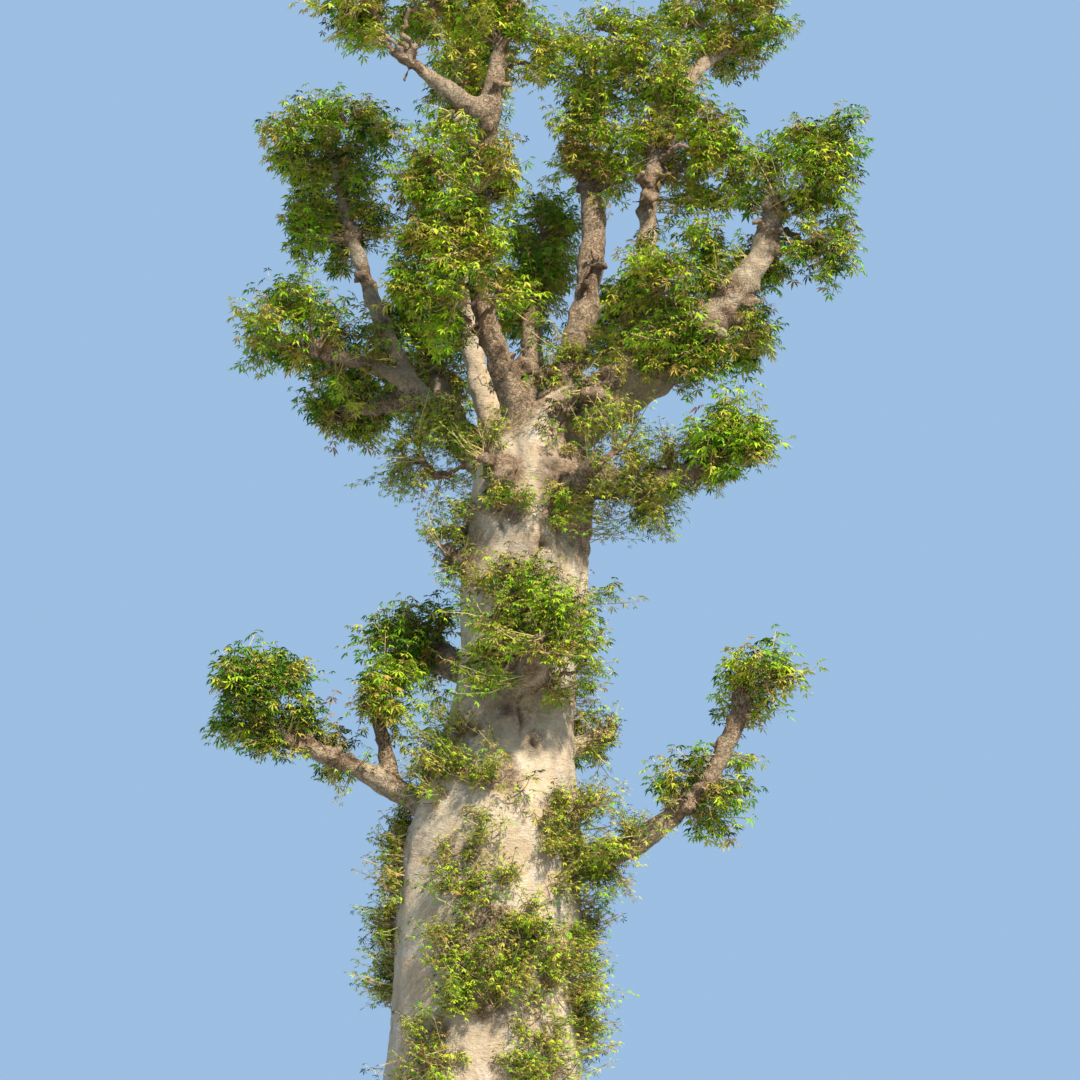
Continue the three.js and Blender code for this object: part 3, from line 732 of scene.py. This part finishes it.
class Bark:
    """The relief and the colour masks of the bark, at each of its points."""

    def __init__(self, points, limbs, burl_balls, trunk, masses):
        self.points = points
        self.find_limbs(list(limbs.values()), [TONES.get(name, PLAIN_TONE) for name in limbs])
        self.find_burls(burl_balls)
        self.find_stains(trunk, masses)
        self.find_wounds(limbs, trunk)
        self.find_creases(trunk)

    def find_limbs(self, limbs, tones):
        """How much each point belongs to a bough, and how far it is along and from the nearest root."""
        along = np.linspace(0.0, 1.0, 30)
        radii = np.concatenate([limb.radius(along) for limb in limbs])
        index, gap = closest(self.points, np.concatenate([limb.at(along) for limb in limbs]))
        limb_of, share = index // len(along), along[index % len(along)]
        self.radius = radii[index]
        self.on_limb = 1 - smoothstep(1.35, 2.2, gap / self.radius)
        self.along = share * np.array([limb.length for limb in limbs])[limb_of]
        self.tone = np.array(tones)[limb_of]
        _, self.from_mouth = closest(self.points, np.stack([limb.at(limb.mouth)[0] for limb in limbs]))

    def find_burls(self, burl_balls):
        middles, radii = np.array([b[0] for b in burl_balls]), np.array([b[1] for b in burl_balls])
        index, gap = closest(self.points, middles)
        self.burl = 1 - smoothstep(0.02, 0.14, gap - radii[index])

    def find_stains(self, trunk, masses):
        """Where the bark is stained and warty, from 0 to 1."""
        patches = [(on_trunk(trunk, *place), radius, 1.0) for *place, radius in ROUGH_PATCHES]
        patches += [(on_trunk(trunk, *place), STUMP_STAIN, 1.0) for place in STUMPS]
        for mass in filter(is_on_trunk, masses):
            patches.append(((mass.low + mass.high) / 2, (mass.high - mass.low) / 3, MASS_STAIN))
        ragged = 0.35 * Noise(23)(self.points, 0.3) + 0.2 * Noise(24)(self.points, 0.1)
        self.stain = np.zeros(len(self.points))
        for middle, size, strength in patches:
            gap = lengths_of((self.points - middle) / size) + ragged
            self.stain = np.maximum(self.stain, strength * (1 - smoothstep(0.55, 1.05, gap)))

    def find_wounds(self, limbs, trunk):
        """Where old wounds have a swollen rim and a hollow, and how far they sink the bark."""
        self.rim, self.hollow, self.sink = np.zeros((3, len(self.points)))
        places = [(on_trunk(trunk, *place), rim, depth) for *place, rim, depth in WOUNDS]
        name, share, heading, rim, depth = BOUGH_WOUND
        places.append((limbs[name].skin(share, compass(heading)), rim, depth))
        wobble = Noise(21)(self.points, 0.16)
        for place, rim, depth in places:
            gap = lengths_of(self.points - place) / rim + 0.25 * wobble
            self.sink += depth * (0.5 * bell((gap - 1.15) / 0.38) - bell(gap / 0.62))
            self.hollow = np.maximum(self.hollow, bell(gap / 0.5))
            self.rim = np.maximum(self.rim, bell(gap / 2.2))

    def find_creases(self, trunk):
        """Upright creases: a narrow slit between two round lips."""
        self.slit = np.zeros(len(self.points))
        wobble = Noise(22)
        for height, heading, length, depth in CREASES:
            outward = compass(heading)
            shift = self.points - on_trunk(trunk, height, heading)
            level = shift @ np.cross(UP, outward) + 0.09 * wobble(self.points, 0.35)
            near = (shift @ outward > -0.35) * np.exp(-((shift[:, 2] / (0.5 * length)) ** 4))
            near *= smoothstep(-0.5, 0.2, wobble(self.points + 3.0, 0.2))
            groove = bell(level / 0.035) * near
            self.sink += depth * (0.55 * (bell(level / 0.16) * near) - 1.3 * groove)
            self.slit = np.maximum(self.slit, groove * smoothstep(0, 0.05, depth))

    def lift(self):
        """How far each point stands out along its normal."""
        points, on_limb = self.points, self.on_limb
        off_limb = 1 - on_limb
        broad, fold, ring, fine, knob = (Noise(seed) for seed in range(5))
        warp = 0.3 * np.stack([broad(points + shift, 0.9) for shift in (0, 17.3, 41.7)], 1)
        bent = points + warp * (1 - 0.6 * on_limb)[:, None]
        fork, foot = smoothstep(8.8, 11.2, points[:, 2]), smoothstep(5.0, 0.5, points[:, 2])
        upright = fold(bent / (0.45, 0.45, 1.9))
        self.fold = bell(upright / 0.10) * off_limb * (0.15 + 0.45 * fork)
        swell = broad(points, 1.2) * 0.05 * off_limb + knob(points, 0.42) * 0.22 * self.radius * on_limb
        flutes = (np.abs(upright) - 0.5 * self.fold) * (0.025 + 0.025 * fork + 0.10 * foot) * off_limb
        flutes += fold(bent / (0.16, 0.16, 1.1)) * 0.018 * foot
        self.find_wrinkles(ring, np.abs(ring(bent / (0.7, 0.7, 0.13))), knob)
        warts = fine(points, 0.12) * (0.006 + 0.028 * self.burl + 0.020 * self.stain + 0.012 * on_limb)
        warts += fine(points + 3.3, 0.065) * (0.016 * self.burl + 0.008 * self.stain + 0.004 * on_limb)
        warts += knob(points + 8.7, 0.2) * 0.016 * on_limb
        return swell + flutes + self.sink - 0.016 * self.wrinkle - 0.012 * self.level + warts

    def find_wrinkles(self, ring, level, knob):
        """Rings of wrinkles on the boughs and about their roots, and level cracks in the trunk."""
        collar = np.exp(-self.from_mouth / 0.35)
        distance = np.where(self.on_limb > 0.5, self.along, self.from_mouth)
        wave = np.sin(distance / 0.085 * 2 * math.pi + 2.2 * ring(self.points, 0.3))
        patchy = smoothstep(-0.2, 0.5, ring(self.points + 9.1, 0.5))
        self.wrinkle = smoothstep(0.3, 1.0, -wave) * (0.25 * self.on_limb + 0.75 * collar) * patchy
        here = smoothstep(0.0, 0.5, knob(self.points + 5.0, 0.8))
        self.level = bell(level / 0.07) * here * (1 - self.on_limb)

    def masks(self):
        """The masks that the bark's material reads, by name."""
        # crease is painted shade: it darkens the folds, slits, wound hollows, wrinkles and level cracks.
        crease_shade = np.maximum.reduce([
            self.fold * 0.8, self.slit, self.hollow, self.wrinkle * 0.6, self.level * 0.5
        ])
        dusty = FOOT_TONE * smoothstep(3.5, 0.2, self.points[:, 2])
        dusty *= smoothstep(-0.4, 0.5, Noise(31)(self.points, 0.7))
        tone = (TRUNK_TONE + dusty) * (1 - self.on_limb) + self.tone * self.on_limb
        tone = np.maximum(tone, STAIN_TONE * self.stain)
        rough = np.maximum.reduce([self.burl, 0.6 * self.rim, 0.55 * self.stain])
        return {"crease_shade": crease_shade.clip(0, 1), "burl": rough.clip(0, 1), "dark": tone}


def make_bark(trunk, limbs, masses):
    """Trunk and boughs as one piece with the bark's relief and masks."""
    rough = RoughWood(trunk, limbs)
    for mass in masses:
        rough.add_mass_burls(mass)
    rough.add_named_burls(trunk, limbs)
    mesh = rough.remeshed()
    points, edges = points_of(mesh), edges_of(mesh)
    bark = Bark(points, limbs, rough.burl_balls, trunk, masses)
    points = smoothed(points, edges, FILLET_ROUNDS, (FILLET - BURL_FILLET * bark.burl)[:, None])
    place_points(mesh, points)
    lift = bark.lift() * smoothstep(0.0, 0.12, points[:, 2])
    points = smoothed(points + normals_of(mesh) * lift[:, None], edges, 1, 0.3)
    points[:, 2] = np.maximum(points[:, 2], 0)
    place_points(mesh, points)
    ratio = BARK_TRIANGLES / len(triangles_of(mesh))
    light = with_modifier(linked("dense_bark", mesh), "DECIMATE", ratio=ratio)
    index, _ = closest(points_of(light), points)
    for name, values in bark.masks().items():
        set_values(light.attributes.new(name, "FLOAT", "POINT").data, "value", values[index])
    set_values(light.polygons, "use_smooth", np.ones(len(light.polygons)), bool)
    light.materials.clear()
    light.materials.append(bark_material())
    return linked("bark", light)


# ---- Materials ----

class Graph:
    """A material, with short ways to make its nodes."""

    def __init__(self, name):
        self.material = bpy.data.materials.new(name)
        self.material.use_nodes = True
        self.nodes = self.material.node_tree.nodes
        self.links = self.material.node_tree.links

    def node(self, kind, settings=None, **inputs):
        made = self.nodes.new(kind)
        for key, value in (settings or {}).items():
            setattr(made, key, value)
        return self.fill(made, inputs)

    def fill(self, node, inputs):
        """Links or sets a node's inputs, given by name or by number."""
        for key, value in inputs.items():
            socket = node.inputs[key.replace("_", " ") if isinstance(key, str) else key]
            if isinstance(value, bpy.types.NodeSocket):
                self.links.new(value, socket)
            else:
                socket.default_value = value
        return node

    def finish(self, **inputs):
        """Fills the shader's inputs and gives the material."""
        self.fill(self.nodes["Principled BSDF"], inputs)
        return self.material

    def noise(self, vector, scale, detail, roughness, distortion=0.0):
        values = {"Scale": scale, "Detail": detail, "Roughness": roughness, "Distortion": distortion}
        return self.node("ShaderNodeTexNoise", Vector=vector, **values).outputs["Fac"]

    def ramp(self, value, *stops):
        """Maps a value to greys: stops are (position, grey)."""
        made = self.node("ShaderNodeValToRGB", Fac=value)
        elements = made.color_ramp.elements
        elements[0].position, elements[1].position = stops[0][0], stops[-1][0]
        for position, _ in stops[1:-1]:
            elements.new(position)
        for element, (_, grey) in zip(elements, stops):
            element.color = (grey, grey, grey, 1)
        return made.outputs["Color"]

    def mix(self, share, first, second):
        """The colour between two others."""
        made = self.node("ShaderNodeMix", {"data_type": "RGBA"})
        return self.fill(made, {0: share, 6: first, 7: second}).outputs[2]

    def math(self, operation, first, second):
        """The result of one operation, held from 0 to 1."""
        made = self.node("ShaderNodeMath", {"operation": operation, "use_clamp": True})
        return self.fill(made, {0: first, 1: second}).outputs[0]

    def times(self, first, second):
        return self.math("MULTIPLY", first, second)

    def bump(self, normal, height, strength, distance, invert=False):
        """The normal with a relief added to it."""
        values = {"Height": height, "Strength": strength, "Distance": distance}
        made = self.node("ShaderNodeBump", {"invert": invert}, **values)
        return self.fill(made, {"Normal": normal} if normal else {}).outputs["Normal"]


def plain_material(name, colour, roughness, gloss=PLAIN_GLOSS):
    return Graph(name).finish(Base_Color=(*colour, 1), Roughness=roughness, Specular_IOR_Level=gloss)


def bark_material():
    """Cream bark, tanned and chalky in patches, that the masks make dark, mottled and warty, with painted
    shade darkening its creases.
    """
    cream, tan, chalk, pink, hazel, russet, ash, brown, umber, olive = (
        (*colour, 1) for colour in BARK_COLOURS.values()
    )
    graph = Graph("baobab_bark")
    noise, ramp, times = graph.noise, graph.ramp, graph.times
    place = graph.node("ShaderNodeTexCoord").outputs["Object"]
    crease_shade, burl, dark = (
        graph.node("ShaderNodeAttribute", {"attribute_name": name}).outputs["Fac"]
        for name in ("crease_shade", "burl", "dark")
    )
    tall, flat = (
        graph.node("ShaderNodeMapping", Vector=place, Scale=(1.0, 1.0, squeeze)).outputs["Vector"]
        for squeeze in (0.22, 3.2)
    )
    patches = ramp(noise(place, 1.7, 6, 0.62, 0.8), (0.42, 0), (0.62, 1))
    chalky = ramp(noise(place, 2.4, 7, 0.68, 1.0), (0.53, 0), (0.62, 1))
    streaks = ramp(noise(tall, 6.0, 6, 0.65, 0.4), (0.46, 0), (0.66, 1))
    blotches = ramp(noise(place, 6.5, 7, 0.72, 0.7), (0.40, 0), (0.60, 1))
    mottle = ramp(noise(place, 17.0, 6, 0.72, 0.5), (0.34, 0), (0.60, 1))
    specks = ramp(noise(place, 30.0, 3, 0.6), (0.56, 0), (0.66, 1))
    folds = noise(flat, 7.0, 6, 0.62, 1.6)
    lines = ramp(folds, (0.455, 0), (0.50, 1), (0.53, 0))
    cracks = ramp(noise(place, 15.0, 5, 0.66, 1.2), (0.45, 0), (0.50, 1), (0.55, 0))
    warty = times(burl, ramp(noise(place, 9.0, 6, 0.7, 0.5), (0.34, 0.25), (0.56, 1)))
    worn = graph.math("ADD", times(dark, 0.8), times(burl, 0.6))
    layers = (
        (times(patches, 0.65), tan), (times(chalky, 0.7), chalk), (times(streaks, 0.45), pink),
        (times(dark, 0.9), graph.mix(patches, hazel, russet)),
        (times(blotches, ramp(dark, (0, 0.18), (0.6, 0.5), (1, 0.3))), ash),
        (times(times(dark, chalky), 0.5), olive), (times(warty, 0.9), brown),
        (times(graph.math("SUBTRACT", 1.0, mottle), 0.12), brown), (times(mottle, times(worn, 0.35)), tan),
        (times(specks, 0.2), brown), (times(times(lines, chalky), 0.5), brown),
        # The umber that the crease mask lays in the bark's creases is painted shade.
        (times(cracks, graph.math("ADD", worn, 0.12)), umber), (times(crease_shade, 0.8), umber),
    )
    colour = cream
    for share, tint in layers:
        colour = graph.mix(share, colour, tint)
    normal = graph.bump(None, noise(place, 38.0, 5, 0.65), 0.35, 0.012)
    normal = graph.bump(normal, folds, 0.5, 0.05)
    normal = graph.bump(normal, cracks, ramp(dark, (0, 0.15), (0.8, 0.7)), 0.02, invert=True)
    normal = graph.bump(normal, noise(place, 12.0, 6, 0.65, 0.4), ramp(dark, (0, 0.3), (0.8, 0.8)), 0.06)
    roughness = graph.node("ShaderNodeMapRange", Value=blotches, To_Min=0.66, To_Max=0.9).outputs["Result"]
    return graph.finish(Base_Color=colour, Roughness=roughness, Specular_IOR_Level=0.3, Normal=normal)


# ---- Shoots and leaves ----

Tree = namedtuple("Tree", "trunk limbs wood leaf_materials shoot_materials")


class Wood:
    """The bark's points, normals and area at each point, to grow shoots from."""

    def __init__(self, bark):
        self.points, self.normals = points_of(bark.data), normals_of(bark.data)
        faces = triangles_of(bark.data)
        sizes = np.repeat(lengths_of(crossed_edges(self.points, faces)) / 6, 3)
        self.areas = np.bincount(faces.ravel(), weights=sizes, minlength=len(self.points))

    def sprouts(self, rng, chosen, count):
        """Places for short sprays, dealt out evenly over some of the bark's points."""
        weights = self.areas[chosen]
        return chosen[rng.choice(len(chosen), count, p=weights / weights.sum())]

    def sprout_heads(self, rng, places):
        """Where the short sprays end."""
        reach = rng.uniform(*SPROUT_REACH, (len(places), 1))
        return self.points[places] + unit(self.normals[places] + UP * 0.5) * reach


def arcs(roots, ways, tips, rings, lift):
    """Curved lines from roots, leaving along ways, that turn up to reach their tips."""
    span = lengths_of(tips - roots)[:, None]
    first = roots + ways * span * 0.35
    second = tips - (unit(tips - roots) * 0.25 + UP * lift) * span
    t = np.linspace(0, 1, rings)[None, :, None]
    return (
        roots[:, None] * (1 - t) ** 3 + first[:, None] * 3 * t * (1 - t) ** 2
        + second[:, None] * 3 * t**2 * (1 - t) + tips[:, None] * t**3
    )


def grow_fingers(mass, rng, points, normals):
    """Stout twigs from the wood to the middles of the parts of a mass that are far from it.

    Gives their lines and widths, and the points and normals with those of the fingers added."""
    count = max(3, round(mass.volume / FINGER_EVERY))
    middles = clusters(mass.inside(rng, 40 * count), count)
    _, gaps = closest(middles, points)
    fingers = []
    for k in np.argsort(gaps):
        if gaps[k] < FINGER_FROM:
            continue
        index, _ = closest(middles[k:k + 1] - UP * 0.12, points)
        line = arcs(points[index], unit(normals[index] + UP * 0.5), middles[k:k + 1], FINGER_RINGS, 0.15)
        line[:, 1:-1] += rng.normal(size=(1, FINGER_RINGS - 2, 3)) * 0.02
        fingers.append((line, np.linspace(*FINGER_WIDTH, FINGER_RINGS)[None] * rng.uniform(0.7, 1.15)))
        points = np.concatenate([points, line[0, 2:]])
        normals = np.concatenate([normals, unit(np.gradient(line[0], axis=0))[2:]])
    return fingers, points, normals


def hides_bark(spots, trunk, limbs):
    """Which spots would stand in front of bare bark or shade a bare stretch of bough."""
    hiding = np.zeros(len(spots), bool)
    sight = unit(SIGHT)
    for height, heading, radius in BARE_TRUNK:
        shift = spots - on_trunk(trunk, height, heading)
        ahead = shift @ sight
        hiding |= (ahead < 0.2) & (lengths_of(shift - np.outer(ahead, sight)) < radius)
    for way, reach in ((sight, SIGHT_REACH), (unit(SUNRAY), SUNRAY_REACH)):
        flat = spots - np.outer(spots @ way, way)
        for name, start, end in BARE_STRETCHES:
            shares = np.linspace(start, end, 24)
            line = limbs[name].at(shares)
            index, gap = closest(flat, line - np.outer(line @ way, way))
            ahead = (spots - line[index]) @ way
            beside = gap < limbs[name].radius(shares)[index] + BARE_MARGIN
            hiding |= (ahead < 0) & (ahead > -reach) & beside
    return hiding


def surface_heads(mass, rng, points, crowding):
    """Where the sprays of a mass end near its outer surface."""
    heads, outward = mass.on_surface(rng, max(4, round(mass.areas.sum() * SPRAYS_PER_M2 * crowding)))
    _, gap = closest(heads, points)
    reach = TRUNK_REACH if hugs_trunk(mass) else ROOT_REACH if is_on_trunk(mass) else math.inf
    clear = (gap > 0.1) & (gap < reach)
    heads, outward, gap = heads[clear], outward[clear], gap[clear]
    return heads + outward * (rng.uniform(*SPRAY_REACH, len(heads)) * smoothstep(0, 0.3, gap))[:, None]


def grow_shoots(heads, rng, points, normals):
    """Sprays of thin shoots from the wood to their heads.

    Gives their lines, and their warmth from 0 to 1, which grows at random, as a shoot stops short of its
    head and near the wood, and which browns their leaves and darkens them partly as painted shade."""
    _, gap = closest(heads, points)
    base, _ = closest(heads - UP * (0.3 * gap)[:, None], points)
    shoots = rng.poisson(SHOOTS_IN_SPRAY, len(heads)).clip(2)
    spray = np.repeat(np.arange(len(heads)), shoots)
    spread = np.minimum(SPRAY_SPREAD, 0.5 * gap[spray] + 0.03)[:, None]
    tips = heads[spray] + rng.normal(size=(len(spray), 3)) * (1.0, 1.0, 0.7) * spread
    index, _ = closest(points[base][spray] + rng.normal(size=(len(spray), 3)) * 0.05, points)
    roots = points[index]
    shorten = np.where(rng.random(len(spray)) < 0.6, 1.0, rng.uniform(0.4, 0.95, len(spray)))
    tips = roots + (tips - roots) * shorten[:, None]
    low, high = np.array(CAD_BOX)
    beyond = np.maximum(tips - (high - TIP_ROOM), 0) + np.minimum(tips - (low + TIP_ROOM), 0)
    tips -= TURN_BACK * beyond
    ways = unit(normals[index] * 0.7 + unit(tips - roots) * 0.7 + rng.normal(size=roots.shape) * 0.25)
    lines = arcs(roots, ways, tips, 2 * SHOOT_RINGS - 1, rng.uniform(0.05, 0.3, (len(spray), 1)))
    warmth = rng.random(len(heads))[spray] * 0.35 + (1 - shorten) * 1.1 + 0.3 * (gap[spray] < 0.2)
    long_enough = lengths_of(tips - roots) > 0.06
    return lines[long_enough], warmth[long_enough].clip(0, 1)


def leaf_fans(leaflet, middles, forwards, normals, lengths, count):
    """Palmate leaves of one count of leaflets, as points (leaves, points, 3) and one leaf's faces."""
    side = np.cross(normals, forwards)
    spread = np.linspace(-1, 1, count)
    angles = spread * math.radians(22 * count - 8)
    sizes = 1 - 0.34 * np.abs(spread) ** 1.5
    way = forwards[:, None] * np.cos(angles)[:, None] + side[:, None] * np.sin(angles)[:, None]
    turned = np.cross(normals[:, None], way)
    reach = (lengths[:, None] * sizes)[:, :, None, None]
    along, wide, down = leaflet.T
    points = middles[:, None, None] + reach * (
        way[:, :, None] * along[:, None] + turned[:, :, None] * (wide * LEAFLET_WIDTH)[:, None]
        - (normals[:, None, None] * 0.55 + UP * 0.45) * down[:, None]
    )
    fan = np.arange(1, len(leaflet) - 1)
    one = np.stack([np.zeros_like(fan), fan, fan + 1], 1)
    return points.reshape(len(middles), -1, 3), copied(one, count, len(leaflet))


def leaf_places(rng, lines):
    """Where leaves sit: the shoot of each, its number from the tip, its place and the way along there."""
    length = lengths_of(np.diff(lines, axis=1)).sum(axis=1)
    counts = np.clip(np.round(length * LEAFY_SHARE / LEAF_GAP), *LEAF_COUNT).astype(int)
    owner = np.repeat(np.arange(len(lines)), counts)
    order = np.concatenate([np.arange(n) for n in counts])
    number = (order + rng.uniform(-0.3, 0.3, len(order))).clip(0)
    share = 1 - number / np.repeat(counts, counts) * LEAFY_SHARE
    place = share * (lines.shape[1] - 1)
    low = np.minimum(place.astype(int), lines.shape[1] - 2)
    part = (place - low)[:, None]
    base = lines[owner, low] * (1 - part) + lines[owner, low + 1] * part
    return owner, order, base, unit(lines[owner, low + 1] - lines[owner, low])


def shoot_colours(rng, warmth, painted_sun_shift):
    """The colour of each shoot's leaves: browner and darker with warmth, the darkness partly painted shade,
    and lightened or darkened by mass as painted sunlight and painted shade.
    """
    cumulative = (OUTER_SHARES + (INNER_SHARES - OUTER_SHARES) * warmth[:, None]).cumsum(axis=1)
    colours = (rng.random((len(warmth), 1)) > cumulative).sum(axis=1).clip(0, STALK - 1)
    # Painted sunlight turns deep and shaded sprays yellow; painted shade turns bright and fresh ones deep.
    changed = rng.random(len(warmth)) < abs(painted_sun_shift)
    if painted_sun_shift < 0:
        colours[changed & (colours < DEEP)] = DEEP
    else:
        colours[changed & ((colours == DEEP) | (colours == SHADED))] = YELLOW
    return colours


def grow_leaves(rng, lines, warmth, scale, painted_sun_shift):
    """Palmate leaves on stalks along each shoot's outer part, as points, triangles and colour slots."""
    owner, order, base, along = leaf_places(rng, lines)
    side, other = across(along)
    turn = order * GOLDEN_ANGLE + owner * 2.1
    outward = side * np.cos(turn)[:, None] + other * np.sin(turn)[:, None]
    lean = np.where(order == 0, 1.6, 0.45)[:, None]
    stalk_way = unit(outward + along * lean + UP * 0.25 + rng.normal(size=base.shape) * 0.12)
    size = scale * (1 - 0.35 * warmth[owner]) * np.where(order == 0, 0.8, 1.0)
    middles = base + stalk_way * (rng.uniform(*STALK_LENGTH, len(order)) * size)[:, None]
    level = unit(UP * 0.85 + stalk_way * 0.25 + rng.normal(size=base.shape) * 0.3)
    forwards = unit(stalk_way - level * (stalk_way * level).sum(axis=1)[:, None])
    lengths = rng.uniform(*LEAF_LENGTH, len(order)) * size
    colour = shoot_colours(rng, warmth, painted_sun_shift)[owner]
    leaflets = rng.choice(LEAFLETS, len(order), p=LEAFLET_SHARES)
    whole = (order < 2) & (scale > TRUNK_LEAF)
    shell, slots = Shell(), []
    for count, is_whole in product(LEAFLETS, (True, False)):
        mine = (leaflets == count) & (whole == is_whole)
        if not mine.any():
            continue
        leaflet = LEAFLET if is_whole else SLIVER
        points, faces = leaf_fans(leaflet, middles[mine], forwards[mine], level[mine], lengths[mine], count)
        shell.add(points.reshape(-1, 3), copied(faces, len(points), points.shape[1]))
        slots.append(np.repeat(colour[mine], len(faces)))
    across_stalk = unit(np.cross(stalk_way, rng.normal(size=base.shape))) * STALK_WIDTH / 2
    stalks = np.stack([base - across_stalk, base + across_stalk, middles], 1)
    shell.add(stalks.reshape(-1, 3), np.arange(3 * len(base)).reshape(-1, 3))
    slots.append(np.full(len(base), STALK))
    return (*shell.arrays(), np.concatenate(slots))


def add_foliage(name, rng, lines, warmth, fingers, scale, tree):
    """The pieces of shoots and of leaves of one mass. Gives the leaves."""
    shell = Shell()
    widths = np.linspace(*SHOOT_WIDTH, SHOOT_RINGS)[None] * rng.uniform(0.8, 1.3, (len(lines), 1))
    shell.add(*tubes(lines[:, ::2], widths, 3))
    per_shoot = len(shell.faces[0]) // len(lines)
    slots = [np.repeat(rng.choice(TWIG_BARK, len(lines), p=SHOOT_SHARES), per_shoot)]
    for line, width in fingers:
        shell.add(*tubes(line, width, 6))
        slots.append(np.full(len(shell.faces[-1]), TWIG_BARK))
    shoots = new_object("shoots_" + name, *shell.arrays(), tree.shoot_materials, np.concatenate(slots))
    points, faces, colours = grow_leaves(rng, lines, warmth, scale, PAINTED_SUN_SHIFT.get(name, 0))
    leaves = new_object("leaves_" + name, points, faces, tree.leaf_materials, colours)
    for piece in (shoots, leaves):
        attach(piece, "root")
    return leaves


def grow_mass(mass, seed, tree):
    """Replaces a mass of foliage by its shoots and leaves."""
    rng = np.random.default_rng(seed)
    wood = tree.wood
    crowding, scale = 1, LEAF_SCALE.get(mass.name, 1)
    if is_on_trunk(mass):
        crowding, scale = TRUNK_CROWDING, TRUNK_LEAF
    crowding *= CROWDING.get(mass.name, 1)
    around = mass.boxed(wood.points, 0.25)
    fingers, points, normals = grow_fingers(mass, rng, wood.points[around], wood.normals[around])
    heads = surface_heads(mass, rng, points, crowding)
    if not is_on_trunk(mass):
        heads = np.concatenate([heads, mass.inside(rng, max(2, round(mass.volume * SPRAYS_PER_M3)))])
    within = mass.held(wood.points, around, 0.05)
    if len(within):
        places = wood.sprouts(rng, within, round(wood.areas[within].sum() * SPROUTS_PER_M2 * crowding))
        heads = np.concatenate([heads, wood.sprout_heads(rng, places)])
    heads = heads[~hides_bark(heads, tree.trunk, tree.limbs)]
    lines, warmth = grow_shoots(heads, rng, points, normals)
    if is_on_trunk(mass):
        warmth = (warmth + TRUNK_WARMTH).clip(0, 1)
    leaves = add_foliage(mass.name, rng, lines, warmth, fingers, scale, tree)
    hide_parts(mass.name)


def grow_strays(tree):
    """Sprays on the trunk and boughs between the masses."""
    rng = np.random.default_rng(STRAYS_SEED)
    wood = tree.wood
    places = []
    for height, heading, scatter, count in TRUNK_STRAYS:
        gap = lengths_of(wood.points - on_trunk(tree.trunk, height, heading))
        places.append(wood.sprouts(rng, np.flatnonzero(gap < scatter), count))
    for name, start, end, count in BOUGH_STRAYS:
        for share in rng.uniform(start, end, count):
            spot = tree.limbs[name].skin(share, unit(rng.normal(size=3) + STRAY_LEAN))
            gap = lengths_of(wood.points - spot)
            places.append(wood.sprouts(rng, np.flatnonzero(gap < gap.min() + 0.1), 1))
    heads = wood.sprout_heads(rng, np.concatenate(places))
    lines, warmth = grow_shoots(heads, rng, wood.points, wood.normals)
    add_foliage("strays", rng, lines, warmth, [], STRAY_LEAF, tree)


# ---- Floor, light, camera and tree ----

def make_stage():
    angles = np.arange(FLOOR_SIDES) / FLOOR_SIDES * 2 * math.pi
    rim = np.stack([
        FLOOR_RADIUS * np.cos(angles), FLOOR_RADIUS * np.sin(angles), np.full(FLOOR_SIDES, -FLOOR_DROP)
    ], 1)
    paint = plain_material("floor_paint", FLOOR_COLOUR, FLOOR_ROUGHNESS)
    new_object("floor", rim, np.arange(FLOOR_SIDES)[None], [paint])
    scene = bpy.context.scene
    scene.world = bpy.data.worlds.new("studio")
    scene.world.use_nodes = True
    background = scene.world.node_tree.nodes["Background"]
    background.inputs["Color"].default_value = (*SKY_COLOUR, 1)
    background.inputs["Strength"].default_value = SKY_STRENGTH
    sun = bpy.data.lights.new("key", "SUN")
    sun.energy = SUN_STRENGTH
    sun.angle = math.radians(SUN_WIDTH)
    sun.color = SUN_COLOUR
    linked("key", sun).rotation_euler = (math.radians(SUN_TILT), 0, math.radians(SUN_TURN))
    scene.view_settings.view_transform = "Standard"


def make_camera():
    camera = linked("camera", bpy.data.cameras.new("camera"))
    camera.data.sensor_width = CAMERA_SENSOR
    camera.data.lens = CAMERA_LENS
    camera.data.clip_end = CAMERA_FAR
    camera.location = CAMERA_PLACE
    camera.rotation_euler = (math.radians(90 + CAMERA_TILT), 0, 0)
    bpy.context.scene.camera = camera


def solids_of(slot):
    """The CAD's solids that have a material slot, by name."""
    parts = frame["record"]["subparts"]
    return [Solid(name) for name in sorted(part["node"] for part in parts if part["material_slot"] == slot)]


def main():
    make_camera()
    make_stage()
    wood_solids, masses = solids_of(BARK_SLOT), solids_of(LEAF_SLOT)
    trunk = next(solid for solid in wood_solids if solid.name == "trunk")
    limbs = {solid.name: Limb(solid) for solid in wood_solids if solid is not trunk}
    for name, limb in limbs.items():
        limb.bury([solid for solid in wood_solids if solid.name != name])
    bark = make_bark(trunk, limbs, masses)
    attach(bark, "root")
    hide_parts(*(solid.name for solid in wood_solids))
    leaf_materials = [plain_material(*item, LEAF_ROUGHNESS, LEAF_GLOSS) for item in LEAF_COLOURS.items()]
    shoot_materials = [plain_material(*item, SHOOT_ROUGHNESS) for item in SHOOT_COLOURS.items()]
    tree = Tree(trunk, limbs, Wood(bark), leaf_materials, shoot_materials)
    grow_strays(tree)
    for seed, mass in enumerate(masses, FIRST_MASS_SEED):
        grow_mass(mass, seed, tree)


main()
